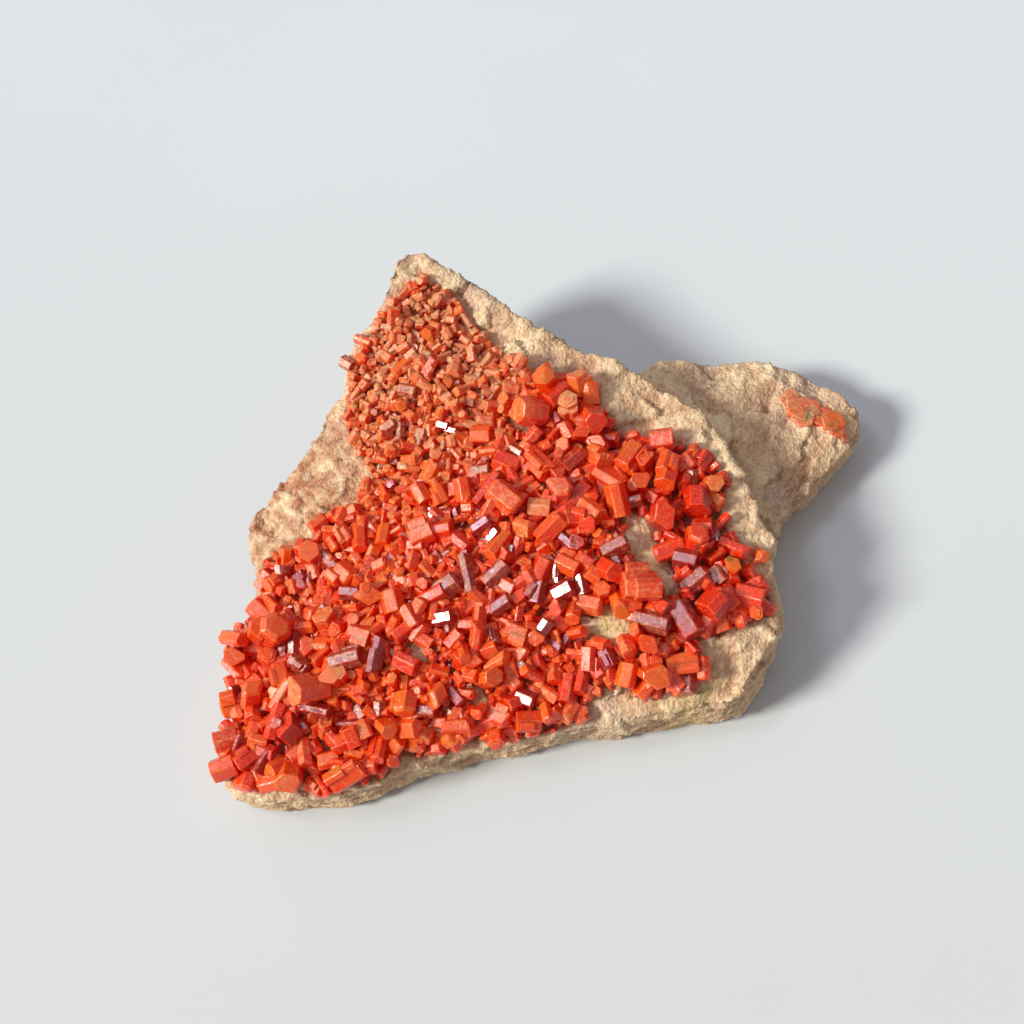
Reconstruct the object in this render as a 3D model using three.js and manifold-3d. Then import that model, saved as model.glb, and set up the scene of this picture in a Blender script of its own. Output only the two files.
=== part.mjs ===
// Vanadinite on matrix: a hand-sized slab of sandy barite rock, crusted on top with orange-red
// hexagonal crystals. Millimetres, +Z up, standing on its broken underside. +X runs towards the low
// ledge, +Y towards the raised apex.
import * as THREE from "three";
import { mergeVertices } from "three/addons/utils/BufferGeometryUtils.js";
import Module from "manifold-3d";

const wasm = await Module();
wasm.setup();

// ---- Matrix: driving dimensions ----
const SLAB_CENTRE = [0, -8];
const SLAB_CROWN = 15.8;
const LEDGE_CENTRE = [28, 10];
const LEDGE_CROWN = 9.8;
const SLAB_COLUMNS = 64;
const LEDGE_COLUMNS = 36;
const SLAB_TOP_ROWS = 6;
const LEDGE_TOP_ROWS = 4;
const WALL_ROWS = 4; // bulge, foot, edge of the flat base, middle of the flat base
const BULGE_LEVEL = 0.45; // height of the wall's bulge, as a share of the way from the foot to the rim
const BULGE_OUT = 0.2;
const BULGE_LEAN = 0.4; // share of the foot's lean that the bulge has
const UPRIGHT_FOOT = 0.1;
const MERGE_TOLERANCE = 1e-4;

// Low swells on the broken faces, as waves of [height, turn per mm along X, turn per mm along Y, phase].
const SWELLS = [
  [0.21, 0.21, 0.17, 0.5],
  [0.21, 0.21, -0.17, 1.3],
  [0.25, 0.34, -0.29, 2.1],
  [0.1, 0.24, 1.19, 0.27],
  [0.1, 1.18, -0.13, -0.27],
];

// ---- Crystals: driving dimensions ----
const CRYSTAL_SIDES = 6;
const CRYSTAL_SPIN = 0.6; // turn about its own axis from one crystal to the next, radians
const CRUST_RISE = 1.3; // how far the smallest crystals stand above the rock
const CRUST_UNDERSIDE = 5.5; // lowest level that the crust reaches where it hangs over the rim
const CRUST_TOP = 30; // above every part of the crust
const ROOT_GAP = 0.3; // clearance between the crystals' roots and the rock
const CRYSTAL_ROOT = 0.4; // level of a crystal's rooted end above the rock
const SEARCH_STEP = 0.02; // steps in from a rim crystal towards the slab's centre, as a share of the way
const SEARCH_END = 0.8;

// Stations round a block's rim, clockwise from above. Each is [x, y, rim height, how far the wall leans
// in at its foot, foot height, how far out the flat base reaches as a share of the way to the foot].
const SLAB_STATIONS = [
  [-13.7, 32.5, 21.5, 1.5, 11, 0.3],
  [-11, 31.6, 21.4, 1.5, 11, 0.3],
  [-7, 28.9, 20.6, 1.5, 10.5, 0.3],
  [-1.5, 25.4, 19.6, 1.5, 10, 0.35],
  [2.6, 22.7, 19, 1.5, 9, 0.4],
  [8.2, 19.7, 18.2, 1, 7.5, 0.5],
  [12, 18.2, 17.6, 1, 6, 0.55],
  [16.6, 16.4, 17, 1, 4, 0.6],
  [21.5, 13.4, 16.3, 0.5, 4, 0.7],
  [25.9, 9.6, 15.9, 0.5, 4, 0.8],
  [27.9, 7, 15.4, 0.5, 4, 0.8],
  [28.6, 4, 14.9, 0.5, 4, 0.8],
  [31.2, -1.1, 14.6, 0.5, 3.5, 0.85],
  [31.5, -3.2, 14.2, 0.5, 3, 0.85],
  [33.4, -6.9, 13.9, 0.3, 2.5, 0.9],
  [33, -9.2, 13.5, 0, 2.5, 0.9],
  [33.8, -11.8, 13, -0.4, 2.5, 0.9],
  [33.9, -16, 12.5, -1, 2, 0.9],
  [32.9, -18.9, 12, -1.2, 2, 0.92],
  [31.2, -21.7, 11.3, -1.2, 1.5, 0.94],
  [29.2, -25.1, 10, -0.6, 1, 0.95],
  [27.3, -26.6, 9.6, -0.2, 0.8, 0.96],
  [23.5, -27.2, 9.3, 0, 0.8, 0.97],
  [16, -28.6, 8.6, -0.2, 0.8, 0.97],
  [8.5, -29.3, 8, 0.3, 0.8, 0.97],
  [1, -31.2, 8, -0.1, 0.8, 0.97],
  [-5.8, -32.7, 8, 0.2, 0.8, 0.97],
  [-10.8, -34, 8, 0.3, 0.8, 0.97],
  [-16.2, -36, 8, 0, 0.8, 0.97],
  [-21.9, -38, 7.5, 0, 0.8, 0.97],
  [-27.4, -38.5, 7, 0.2, 0.8, 0.97],
  [-33.6, -37.9, 7, -0.2, 1, 0.95],
  [-35.2, -36, 7, 0, 1.2, 0.92],
  [-35, -31.1, 7.5, 1, 2, 0.85],
  [-34.8, -25.4, 8, 1.5, 2.5, 0.75],
  [-35, -19.6, 8.5, 1.5, 3, 0.7],
  [-33.8, -13.7, 9, 1.5, 3.5, 0.7],
  [-32.6, -10.4, 9.5, 1.5, 4, 0.7],
  [-33.8, -7.8, 10, 1.5, 4, 0.65],
  [-34.2, -4.6, 10.5, 2, 4.5, 0.6],
  [-32.9, -1, 11, 2, 5, 0.6],
  [-29.3, 4.1, 12, 2, 6, 0.55],
  [-26.2, 7.4, 13.4, 2, 7, 0.5],
  [-24.7, 11.2, 14.8, 2, 8, 0.45],
  [-22, 14.3, 15.6, 2, 8.5, 0.4],
  [-21.6, 17.7, 16.6, 2, 9, 0.4],
  [-20.5, 21.3, 18, 2, 9.5, 0.35],
  [-18.1, 23.5, 19.5, 2, 10, 0.3],
  [-16.8, 26.3, 20.5, 1.5, 10.5, 0.3],
  [-15.8, 30.5, 21.5, 1.5, 11, 0.3],
];

const LEDGE_STATIONS = [
  [10, 15.6, 9.3, 0, 2, 0.9],
  [17.9, 20.9, 9.3, 1, 3, 0.85],
  [22.7, 22.8, 9.3, 1, 3, 0.85],
  [27.2, 23, 8.8, 1, 2.5, 0.85],
  [31.7, 23.4, 8.3, 1, 2, 0.85],
  [35.9, 22.8, 7.8, 1, 2, 0.85],
  [39.9, 21.8, 7.8, 1, 2, 0.85],
  [42.6, 20.3, 7.3, 1, 2, 0.85],
  [45.2, 18.4, 7.3, 1, 2, 0.85],
  [47.2, 16.6, 6.8, 0.6, 1.5, 0.88],
  [48.2, 14.2, 6.3, 0.3, 1.2, 0.9],
  [46.9, 11.3, 6.3, 0.2, 1, 0.93],
  [44, 7.8, 6.3, 0.2, 1, 0.94],
  [40.2, 4, 6.8, 0.2, 1, 0.94],
  [37.4, 1, 6.8, 0.3, 1, 0.93],
  [35.6, -3, 6.8, 0.3, 1.2, 0.92],
  [34, -6.9, 6.8, 0.5, 1.5, 0.9],
  [24, -8.4, 6.8, 0, 2, 0.9],
  [10, -0.4, 7.8, 0, 2, 0.9],
];

// Edge of the crystal crust on the slab, clockwise from the raised end, and the bare patches inside it.
const CRUST_OUTLINE = [
  [-15, 26.2], [-12, 28.5], [-8.3, 26.3], [-5, 22], [-1.5, 18.3], [2.5, 15.7], [6.5, 15.3], [10, 14],
  [11.5, 11.2], [14, 7.3], [19, 7.2], [21, 6.2], [26, 4.1], [27.5, 0.6], [26.5, -3.9], [28.5, -7.9],
  [30, -11.4], [32.5, -13.9], [32.5, -16.4], [28, -17.8], [26, -19.2], [23.5, -19.1], [22.5, -21.5],
  [24.5, -23], [22, -26], [16, -26], [12.5, -25], [9.5, -26.5], [8.5, -29], [3.5, -30.5],
  [-1.5, -31.4], [-4, -31], [-7.5, -32.5], [-13.5, -33.5], [-15.5, -35.5], [-20.5, -37.4],
  [-24.5, -37.5], [-27, -36.5], [-29.5, -37.6], [-33.5, -37.2], [-35.6, -35], [-35.6, -31],
  [-34.8, -26.5], [-35.8, -24.5], [-35.8, -19], [-34, -15.5], [-32, -12.5], [-32, -8.5], [-25.5, -7],
  [-25, -3.5], [-20.5, -2], [-19, 0.5], [-17.5, 1.9], [-20.8, 6.6], [-21.8, 10.6], [-21.2, 16.7],
  [-19.7, 20.1], [-17, 23.4],
];
const BARE_PATCHES = [
  [
    [14.8, -4.6], [14.5, -7.1], [15.5, -10.1], [17.5, -12.1], [19, -14.6], [20.5, -13.6], [18.8, -10.6],
    [17.3, -8.1], [16.3, -4.7],
  ],
  [[9, -17.5], [9.5, -19.5], [13, -19.8], [13.5, -18.5], [12, -16.8]],
  [[-13.5, -20.8], [-12.5, -22.5], [-11, -24], [-10, -22.5], [-11, -20.5]],
  [[-5, -25.5], [-4.8, -29], [-3, -27.5], [-3.5, -25.8]],
];

// The larger crystals of the crust. Each is [x, y, width, length, heading of its free end, lean from
// upright], in millimetres and degrees, with the heading counted from +X towards +Y.
const CRYSTALS = [
  // Front left corner
  [-32, -26.5, 2.6, 4, 50, 75], [-35, -26.3, 3.2, 3, 180, 60], [-35.3, -31.5, 3, 3, 180, 50],
  [-35.1, -35.2, 3, 3, 200, 60], [-28.8, -30, 2.1, 4.5, 85, 70], [-27, -31, 2.6, 4.5, 80, 65],
  [-24.6, -27, 3.2, 4.5, 40, 70], [-20, -36.3, 2.6, 4.5, 30, 65], [-27, -36.3, 3.4, 3, -80, 40],
  [-21.7, -25.3, 2.6, 3.5, 20, 65],
  // Left edge
  [-29.8, -18.5, 4, 4, -120, 55], [-17.8, -15, 2.6, 4, 0, 70], [-20.2, -23.2, 2.8, 4, 10, 80],
  // Front, left of the middle
  [-9.3, -27.2, 2.6, 4, 80, 70], [-12.9, -28, 3, 3, -60, 40], [-2.8, -25, 2.7, 3.2, -30, 50],
  // Middle
  [-3.2, -1.3, 1.8, 5, 55, 75], [-1, -2.8, 3.2, 4.6, -45, 65], [-5.5, -12.5, 2.1, 5, 105, 75],
  [-9, -6.7, 2.8, 3.2, 0, 60], [4.7, -6.8, 2.8, 4, 35, 65], [6.2, -1.5, 3, 4.2, -30, 65],
  [8.3, -2, 2.2, 4.6, 50, 72], [-0.8, 2.5, 2.7, 3.2, -20, 50], [3.7, 2.4, 2.5, 4.6, -50, 65],
  [-11.4, -7, 3, 3, 10, 50],
  // Right of the middle
  [18.8, -4.7, 3, 6, -65, 52], [13.3, -2.9, 2.8, 4.2, -85, 62], [12.3, 0.9, 2.6, 4, -55, 65],
  [15, 3.6, 2.6, 4, 58, 65], [16, -0.2, 2.4, 3.8, 35, 70], [19.9, 1.3, 2.7, 4.8, 60, 70],
  [17, 2.8, 2.1, 4.2, 80, 70], [23.4, -2.6, 3.6, 3.2, -100, 40], [23, -8.1, 2.8, 3.6, -60, 60],
  [12.8, -9.1, 2.6, 3.4, 20, 55], [15.7, -14.3, 4.3, 4.4, 140, 30], [17.2, -18.5, 2.8, 4.4, -25, 62],
  [21.2, -18.3, 3.3, 4.6, -75, 60], [25, -16.2, 3.6, 3.4, -120, 50], [26.8, -15.1, 3, 3.2, 0, 60],
  [29.7, -14.7, 3.4, 3.6, -20, 65], [10, -4.3, 2.6, 3.6, -40, 60],
  // Front right
  [21, -22.9, 2.8, 4, 10, 68], [17.5, -24.6, 3.2, 4.6, 170, 75],
  // Upper middle
  [2.4, 8.7, 4.2, 4, -150, 40], [5.6, 11.6, 2.6, 3.6, 10, 65], [10.4, 8.3, 3.2, 3.6, -70, 50],
  [8.9, 6.6, 2.2, 4.4, 35, 72], [19.4, 5.9, 3, 3, 60, 40],
];

// Crystals grown on the low ledge, away from the crust, and a single small one on the right-hand rim.
const LEDGE_CRYSTALS = [
  [39.2, 15, 3.2, 5, -40, 80], [43.4, 13.8, 2.5, 4.6, -20, 80],
];
const RIM_CRYSTALS = [
  [31.5, -9.1, 1.6, 1.8, -60, 50],
];

// How far the broken face stands above or below its mean level.
function swell(x, y) {
  let total = 0;
  for (const [height, turnX, turnY, phase] of SWELLS) {
    total += height * Math.sin(turnX * x + turnY * y + phase);
  }
  return total;
}

// A block of broken rock: a sphere's rows are laid out as the top face, the rim, the wall and the flat base.
// grow moves the top face up and the rim outwards, and upright drops the wall straight from the rim, which
// together make the shapes that bound the crystals.
function blockGeometry({ stations, centre, crown, columns, topRows, grow = 0, upright = false }) {
  const along = (pick) => new THREE.CatmullRomCurve3(stations.map(pick), true, "centripetal");
  const rimCurve = along(([x, y, z]) => new THREE.Vector3(x, y, z));
  const wallCurve = along(([, , , lean, foot, share]) => new THREE.Vector3(lean, foot, share));
  const rows = topRows + WALL_ROWS;
  const geometry = new THREE.SphereGeometry(1, columns, rows);
  const position = geometry.attributes.position;
  for (let row = 0; row <= rows; row++) {
    for (let column = 0; column <= columns; column++) {
      const u = ((columns - column) % columns) / columns;
      const rim = rimCurve.getPoint(u);
      const wall = wallCurve.getPoint(u);
      const lean = upright ? 0 : wall.x;
      const foot = upright ? UPRIGHT_FOOT : wall.y;
      const share = upright ? 1 : wall.z;
      const outward = new THREE.Vector2(rim.x - centre[0], rim.y - centre[1]);
      const reach = outward.length() + grow;
      outward.normalize();
      let out = reach;
      let z = rim.z;
      if (row <= topRows) {
        const s = row / topRows;
        out = reach * s;
        const x = centre[0] + outward.x * out;
        const y = centre[1] + outward.y * out;
        z = THREE.MathUtils.lerp(crown, rim.z, s * s) + swell(x, y) + grow;
      } else if (row === topRows + 1) {
        out = upright ? reach : reach + BULGE_OUT - BULGE_LEAN * lean;
        z = THREE.MathUtils.lerp(foot, rim.z, BULGE_LEVEL);
      } else if (row === topRows + 2) {
        out = reach - lean;
        z = foot;
      } else if (row === topRows + 3) {
        out = (reach - lean) * share;
        z = 0;
      } else {
        out = 0;
        z = 0;
      }
      const index = row * (columns + 1) + column;
      position.setXYZ(index, centre[0] + outward.x * out, centre[1] + outward.y * out, z);
    }
  }
  return geometry;
}

// ---- Solids ----
function solidOf(geometry) {
  const bare = geometry.clone();
  bare.deleteAttribute("normal");
  bare.deleteAttribute("uv");
  const merged = mergeVertices(bare, MERGE_TOLERANCE);
  const vertProperties = new Float32Array(merged.attributes.position.array);
  const triVerts = new Uint32Array(merged.index.array);
  return new wasm.Manifold(new wasm.Mesh({ numProp: 3, vertProperties, triVerts }));
}

function geometryOf(solid) {
  const mesh = solid.getMesh();
  const geometry = new THREE.BufferGeometry();
  geometry.setAttribute("position", new THREE.BufferAttribute(mesh.vertProperties, 3));
  geometry.setIndex(new THREE.BufferAttribute(mesh.triVerts, 1));
  return geometry;
}

function matrixSolid(grow = 0, upright = false) {
  const slab = blockGeometry({
    stations: SLAB_STATIONS,
    centre: SLAB_CENTRE,
    crown: SLAB_CROWN,
    columns: SLAB_COLUMNS,
    topRows: SLAB_TOP_ROWS,
    grow,
    upright,
  });
  const ledge = blockGeometry({
    stations: LEDGE_STATIONS,
    centre: LEDGE_CENTRE,
    crown: LEDGE_CROWN,
    columns: LEDGE_COLUMNS,
    topRows: LEDGE_TOP_ROWS,
    grow,
    upright,
  });
  return solidOf(slab).add(solidOf(ledge));
}

const rockSolid = matrixSolid();
const rockMesh = new THREE.Mesh(geometryOf(rockSolid));

// Height of the rock under a point. Past the rim, the nearest rock towards the slab's centre counts.
function rockTop(x, y) {
  const down = new THREE.Vector3(0, 0, -1);
  for (let share = 1; share > SEARCH_END; share -= SEARCH_STEP) {
    const px = THREE.MathUtils.lerp(SLAB_CENTRE[0], x, share);
    const py = THREE.MathUtils.lerp(SLAB_CENTRE[1], y, share);
    const ray = new THREE.Raycaster(new THREE.Vector3(px, py, CRUST_TOP), down);
    const hits = ray.intersectObject(rockMesh);
    if (hits.length > 0) {
      return hits[0].point.z;
    }
  }
  throw new Error(`no rock under the crystal at ${x}, ${y}`);
}

// A hexagonal prism whose middle lies over (x, y), with its rooted end just above the rock.
function crystalGeometry([x, y, width, length, heading, lean], index) {
  const azimuth = THREE.MathUtils.degToRad(heading);
  const tilt = THREE.MathUtils.degToRad(lean);
  const axis = new THREE.Vector3(
    Math.sin(tilt) * Math.cos(azimuth),
    Math.sin(tilt) * Math.sin(azimuth),
    Math.cos(tilt),
  );
  const rise = CRYSTAL_ROOT + 0.5 * length * Math.cos(tilt) + 0.5 * width * Math.sin(tilt);
  const geometry = new THREE.CylinderGeometry(0.5 * width, 0.5 * width, length, CRYSTAL_SIDES);
  geometry.rotateY(CRYSTAL_SPIN * index);
  geometry.applyQuaternion(new THREE.Quaternion().setFromUnitVectors(new THREE.Vector3(0, 1, 0), axis));
  geometry.translate(x, y, rockTop(x, y) + rise);
  return geometry;
}

// The layer of small crystals, which the larger ones grow from.
function crustSolid() {
  const points = (list) => list.map(([x, y]) => new THREE.Vector2(x, y));
  const outline = new THREE.Shape(points(CRUST_OUTLINE));
  for (const patch of BARE_PATCHES) {
    outline.holes.push(new THREE.Path(points(patch)));
  }
  const depth = CRUST_TOP - CRUST_UNDERSIDE;
  const prism = new THREE.ExtrudeGeometry(outline, { depth, bevelEnabled: false });
  prism.translate(0, 0, CRUST_UNDERSIDE);
  const layer = matrixSolid(CRUST_RISE, true).intersect(solidOf(prism));
  return layer.subtract(matrixSolid(ROOT_GAP, true));
}

function crystalSolids(rows) {
  return rows.map(crystalGeometry).map(solidOf);
}

// Crystals grown into each other are one solid, trimmed clear of the rock's top and of its wall.
function grownSolid(solids) {
  const joined = solids.reduce((whole, one) => whole.add(one));
  const pieces = joined.subtract(matrixSolid(ROOT_GAP)).decompose();
  return pieces.sort((a, b) => b.volume() - a.volume())[0];
}

// ---- Assembly ----
const rock = new THREE.MeshStandardMaterial({ color: 0xb39478, roughness: 0.95, metalness: 0 });
const red = new THREE.MeshStandardMaterial({ color: 0xb8341a, roughness: 0.2, metalness: 0 });
const pink = new THREE.MeshStandardMaterial({ color: 0xd0694c, roughness: 0.25, metalness: 0 });
const amber = new THREE.MeshStandardMaterial({ color: 0xc87424, roughness: 0.3, metalness: 0 });

const pieces = [
  ["matrix", rockSolid, rock],
  ["druse", grownSolid([crustSolid(), ...crystalSolids(CRYSTALS)]), red],
  ["ledge_crystals", grownSolid(crystalSolids(LEDGE_CRYSTALS)), pink],
  ["rim_crystal", grownSolid(crystalSolids(RIM_CRYSTALS)), amber],
];

const specimen = new THREE.Group();
for (const [name, solid, material] of pieces) {
  const mesh = new THREE.Mesh(geometryOf(solid), material);
  mesh.name = name;
  specimen.add(mesh);
}

// The origin is under the middle of the whole specimen, at the level that it stands on.
const bounds = new THREE.Box3().setFromObject(specimen);
const middle = bounds.getCenter(new THREE.Vector3());
specimen.position.set(-middle.x, -middle.y, -bounds.min.z);

const object = new THREE.Group();
object.add(specimen);

export default object;
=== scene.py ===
"""Vanadinite on matrix: a broken slab of sandy rock, crusted on top with red and orange hexagonal crystals.

Sizes in the lists and settings are millimetres, and angles are degrees. The lists count from the middle of the
slab, and shift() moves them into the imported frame.
"""

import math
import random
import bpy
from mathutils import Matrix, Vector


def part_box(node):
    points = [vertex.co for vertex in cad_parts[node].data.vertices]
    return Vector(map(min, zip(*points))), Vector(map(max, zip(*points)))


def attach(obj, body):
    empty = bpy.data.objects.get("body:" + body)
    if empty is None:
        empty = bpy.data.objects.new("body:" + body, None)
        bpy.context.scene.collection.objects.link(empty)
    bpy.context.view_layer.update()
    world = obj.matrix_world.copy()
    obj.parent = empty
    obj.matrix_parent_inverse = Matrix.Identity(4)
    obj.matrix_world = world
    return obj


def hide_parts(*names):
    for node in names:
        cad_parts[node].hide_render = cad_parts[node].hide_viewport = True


bl_info = {
    "name": "Vanadinite on Matrix",
    "version": (1, 0, 0),
    "blender": (4, 5, 0),
    "location": "3D View > Sidebar > Vanadinite",
    "description": "Builds a hand specimen of vanadinite crystals on sandy rock, around its packed solids",
    "category": "Add Mesh",
}

import bmesh
import bpy
import numpy as np
from bpy.props import FloatProperty, FloatVectorProperty, IntProperty, PointerProperty
from mathutils import Quaternion, Vector, noise
from mathutils.bvhtree import BVHTree

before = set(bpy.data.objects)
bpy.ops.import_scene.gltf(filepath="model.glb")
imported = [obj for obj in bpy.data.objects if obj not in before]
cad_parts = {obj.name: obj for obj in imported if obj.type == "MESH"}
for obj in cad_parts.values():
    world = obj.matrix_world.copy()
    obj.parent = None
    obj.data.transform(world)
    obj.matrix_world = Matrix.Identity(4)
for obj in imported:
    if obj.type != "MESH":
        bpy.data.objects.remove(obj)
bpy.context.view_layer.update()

MM = 0.001
LEDGE_TIP_X = 48.28
APEX_Y = 32.5
HEXAGON_SIDES = 6
# The lamp's side, which the dust also settled on. The crystals are painted paler towards it and redder away from it,
# as painted light and shade.
LAMP_AND_DUST_SIDE = (-0.5, -0.15, 0.853)
SIXTH = math.radians(60)

# Edge of the crystal crust, clockwise from the raised end, and the bare patches inside it.
CRUST_OUTLINE = [
    (-15, 26.2), (-12, 28.5), (-8.3, 26.3), (-5, 22), (-1.5, 18.3), (2.5, 15.7), (6.5, 15.3), (10, 14),
    (11.5, 11.2), (14, 7.3), (19, 7.2), (21, 6.2), (26, 4.1), (27.5, 0.6), (26.5, -3.9), (28.5, -7.9),
    (30, -11.4), (32.5, -13.9), (32.5, -16.4), (28, -17.8), (26, -19.2), (23.5, -19.1), (22.5, -21.5),
    (24.5, -23), (22, -26), (16, -26), (12.5, -25), (9.5, -26.5), (8.5, -29), (3.5, -30.5),
    (-1.5, -31.4), (-4, -31), (-7.5, -32.5), (-13.5, -33.5), (-15.5, -35.5), (-20.5, -37.4),
    (-24.5, -37.5), (-27, -36.5), (-29.5, -37.6), (-33.5, -37.2), (-35.6, -35), (-35.6, -31),
    (-34.8, -26.5), (-35.8, -24.5), (-35.8, -19), (-34, -15.5), (-32, -12.5), (-32, -8.5), (-25.5, -7),
    (-25, -3.5), (-20.5, -2), (-19, 0.5), (-17.5, 1.9), (-20.8, 6.6), (-21.8, 10.6), (-21.2, 16.7),
    (-19.7, 20.1), (-17, 23.4),
]
BARE_PATCHES = [
    [(14.4, -3.4), (13.8, -7.4), (14.8, -10.8), (17, -13), (18.8, -15.6), (21.4, -14), (19.8, -10.6), (18.2, -7.6),
     (17.2, -3.8)],
    [(8.2, -16.8), (8.6, -20.2), (13.4, -20.8), (15, -18.8), (13.4, -16), (10.6, -16)],
    [(-13.5, -20.8), (-12.5, -22.5), (-11, -24), (-10, -22.5), (-11, -20.5)],
    [(-5, -25.5), (-4.8, -29), (-3, -27.5), (-3.5, -25.8)],
]

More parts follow.
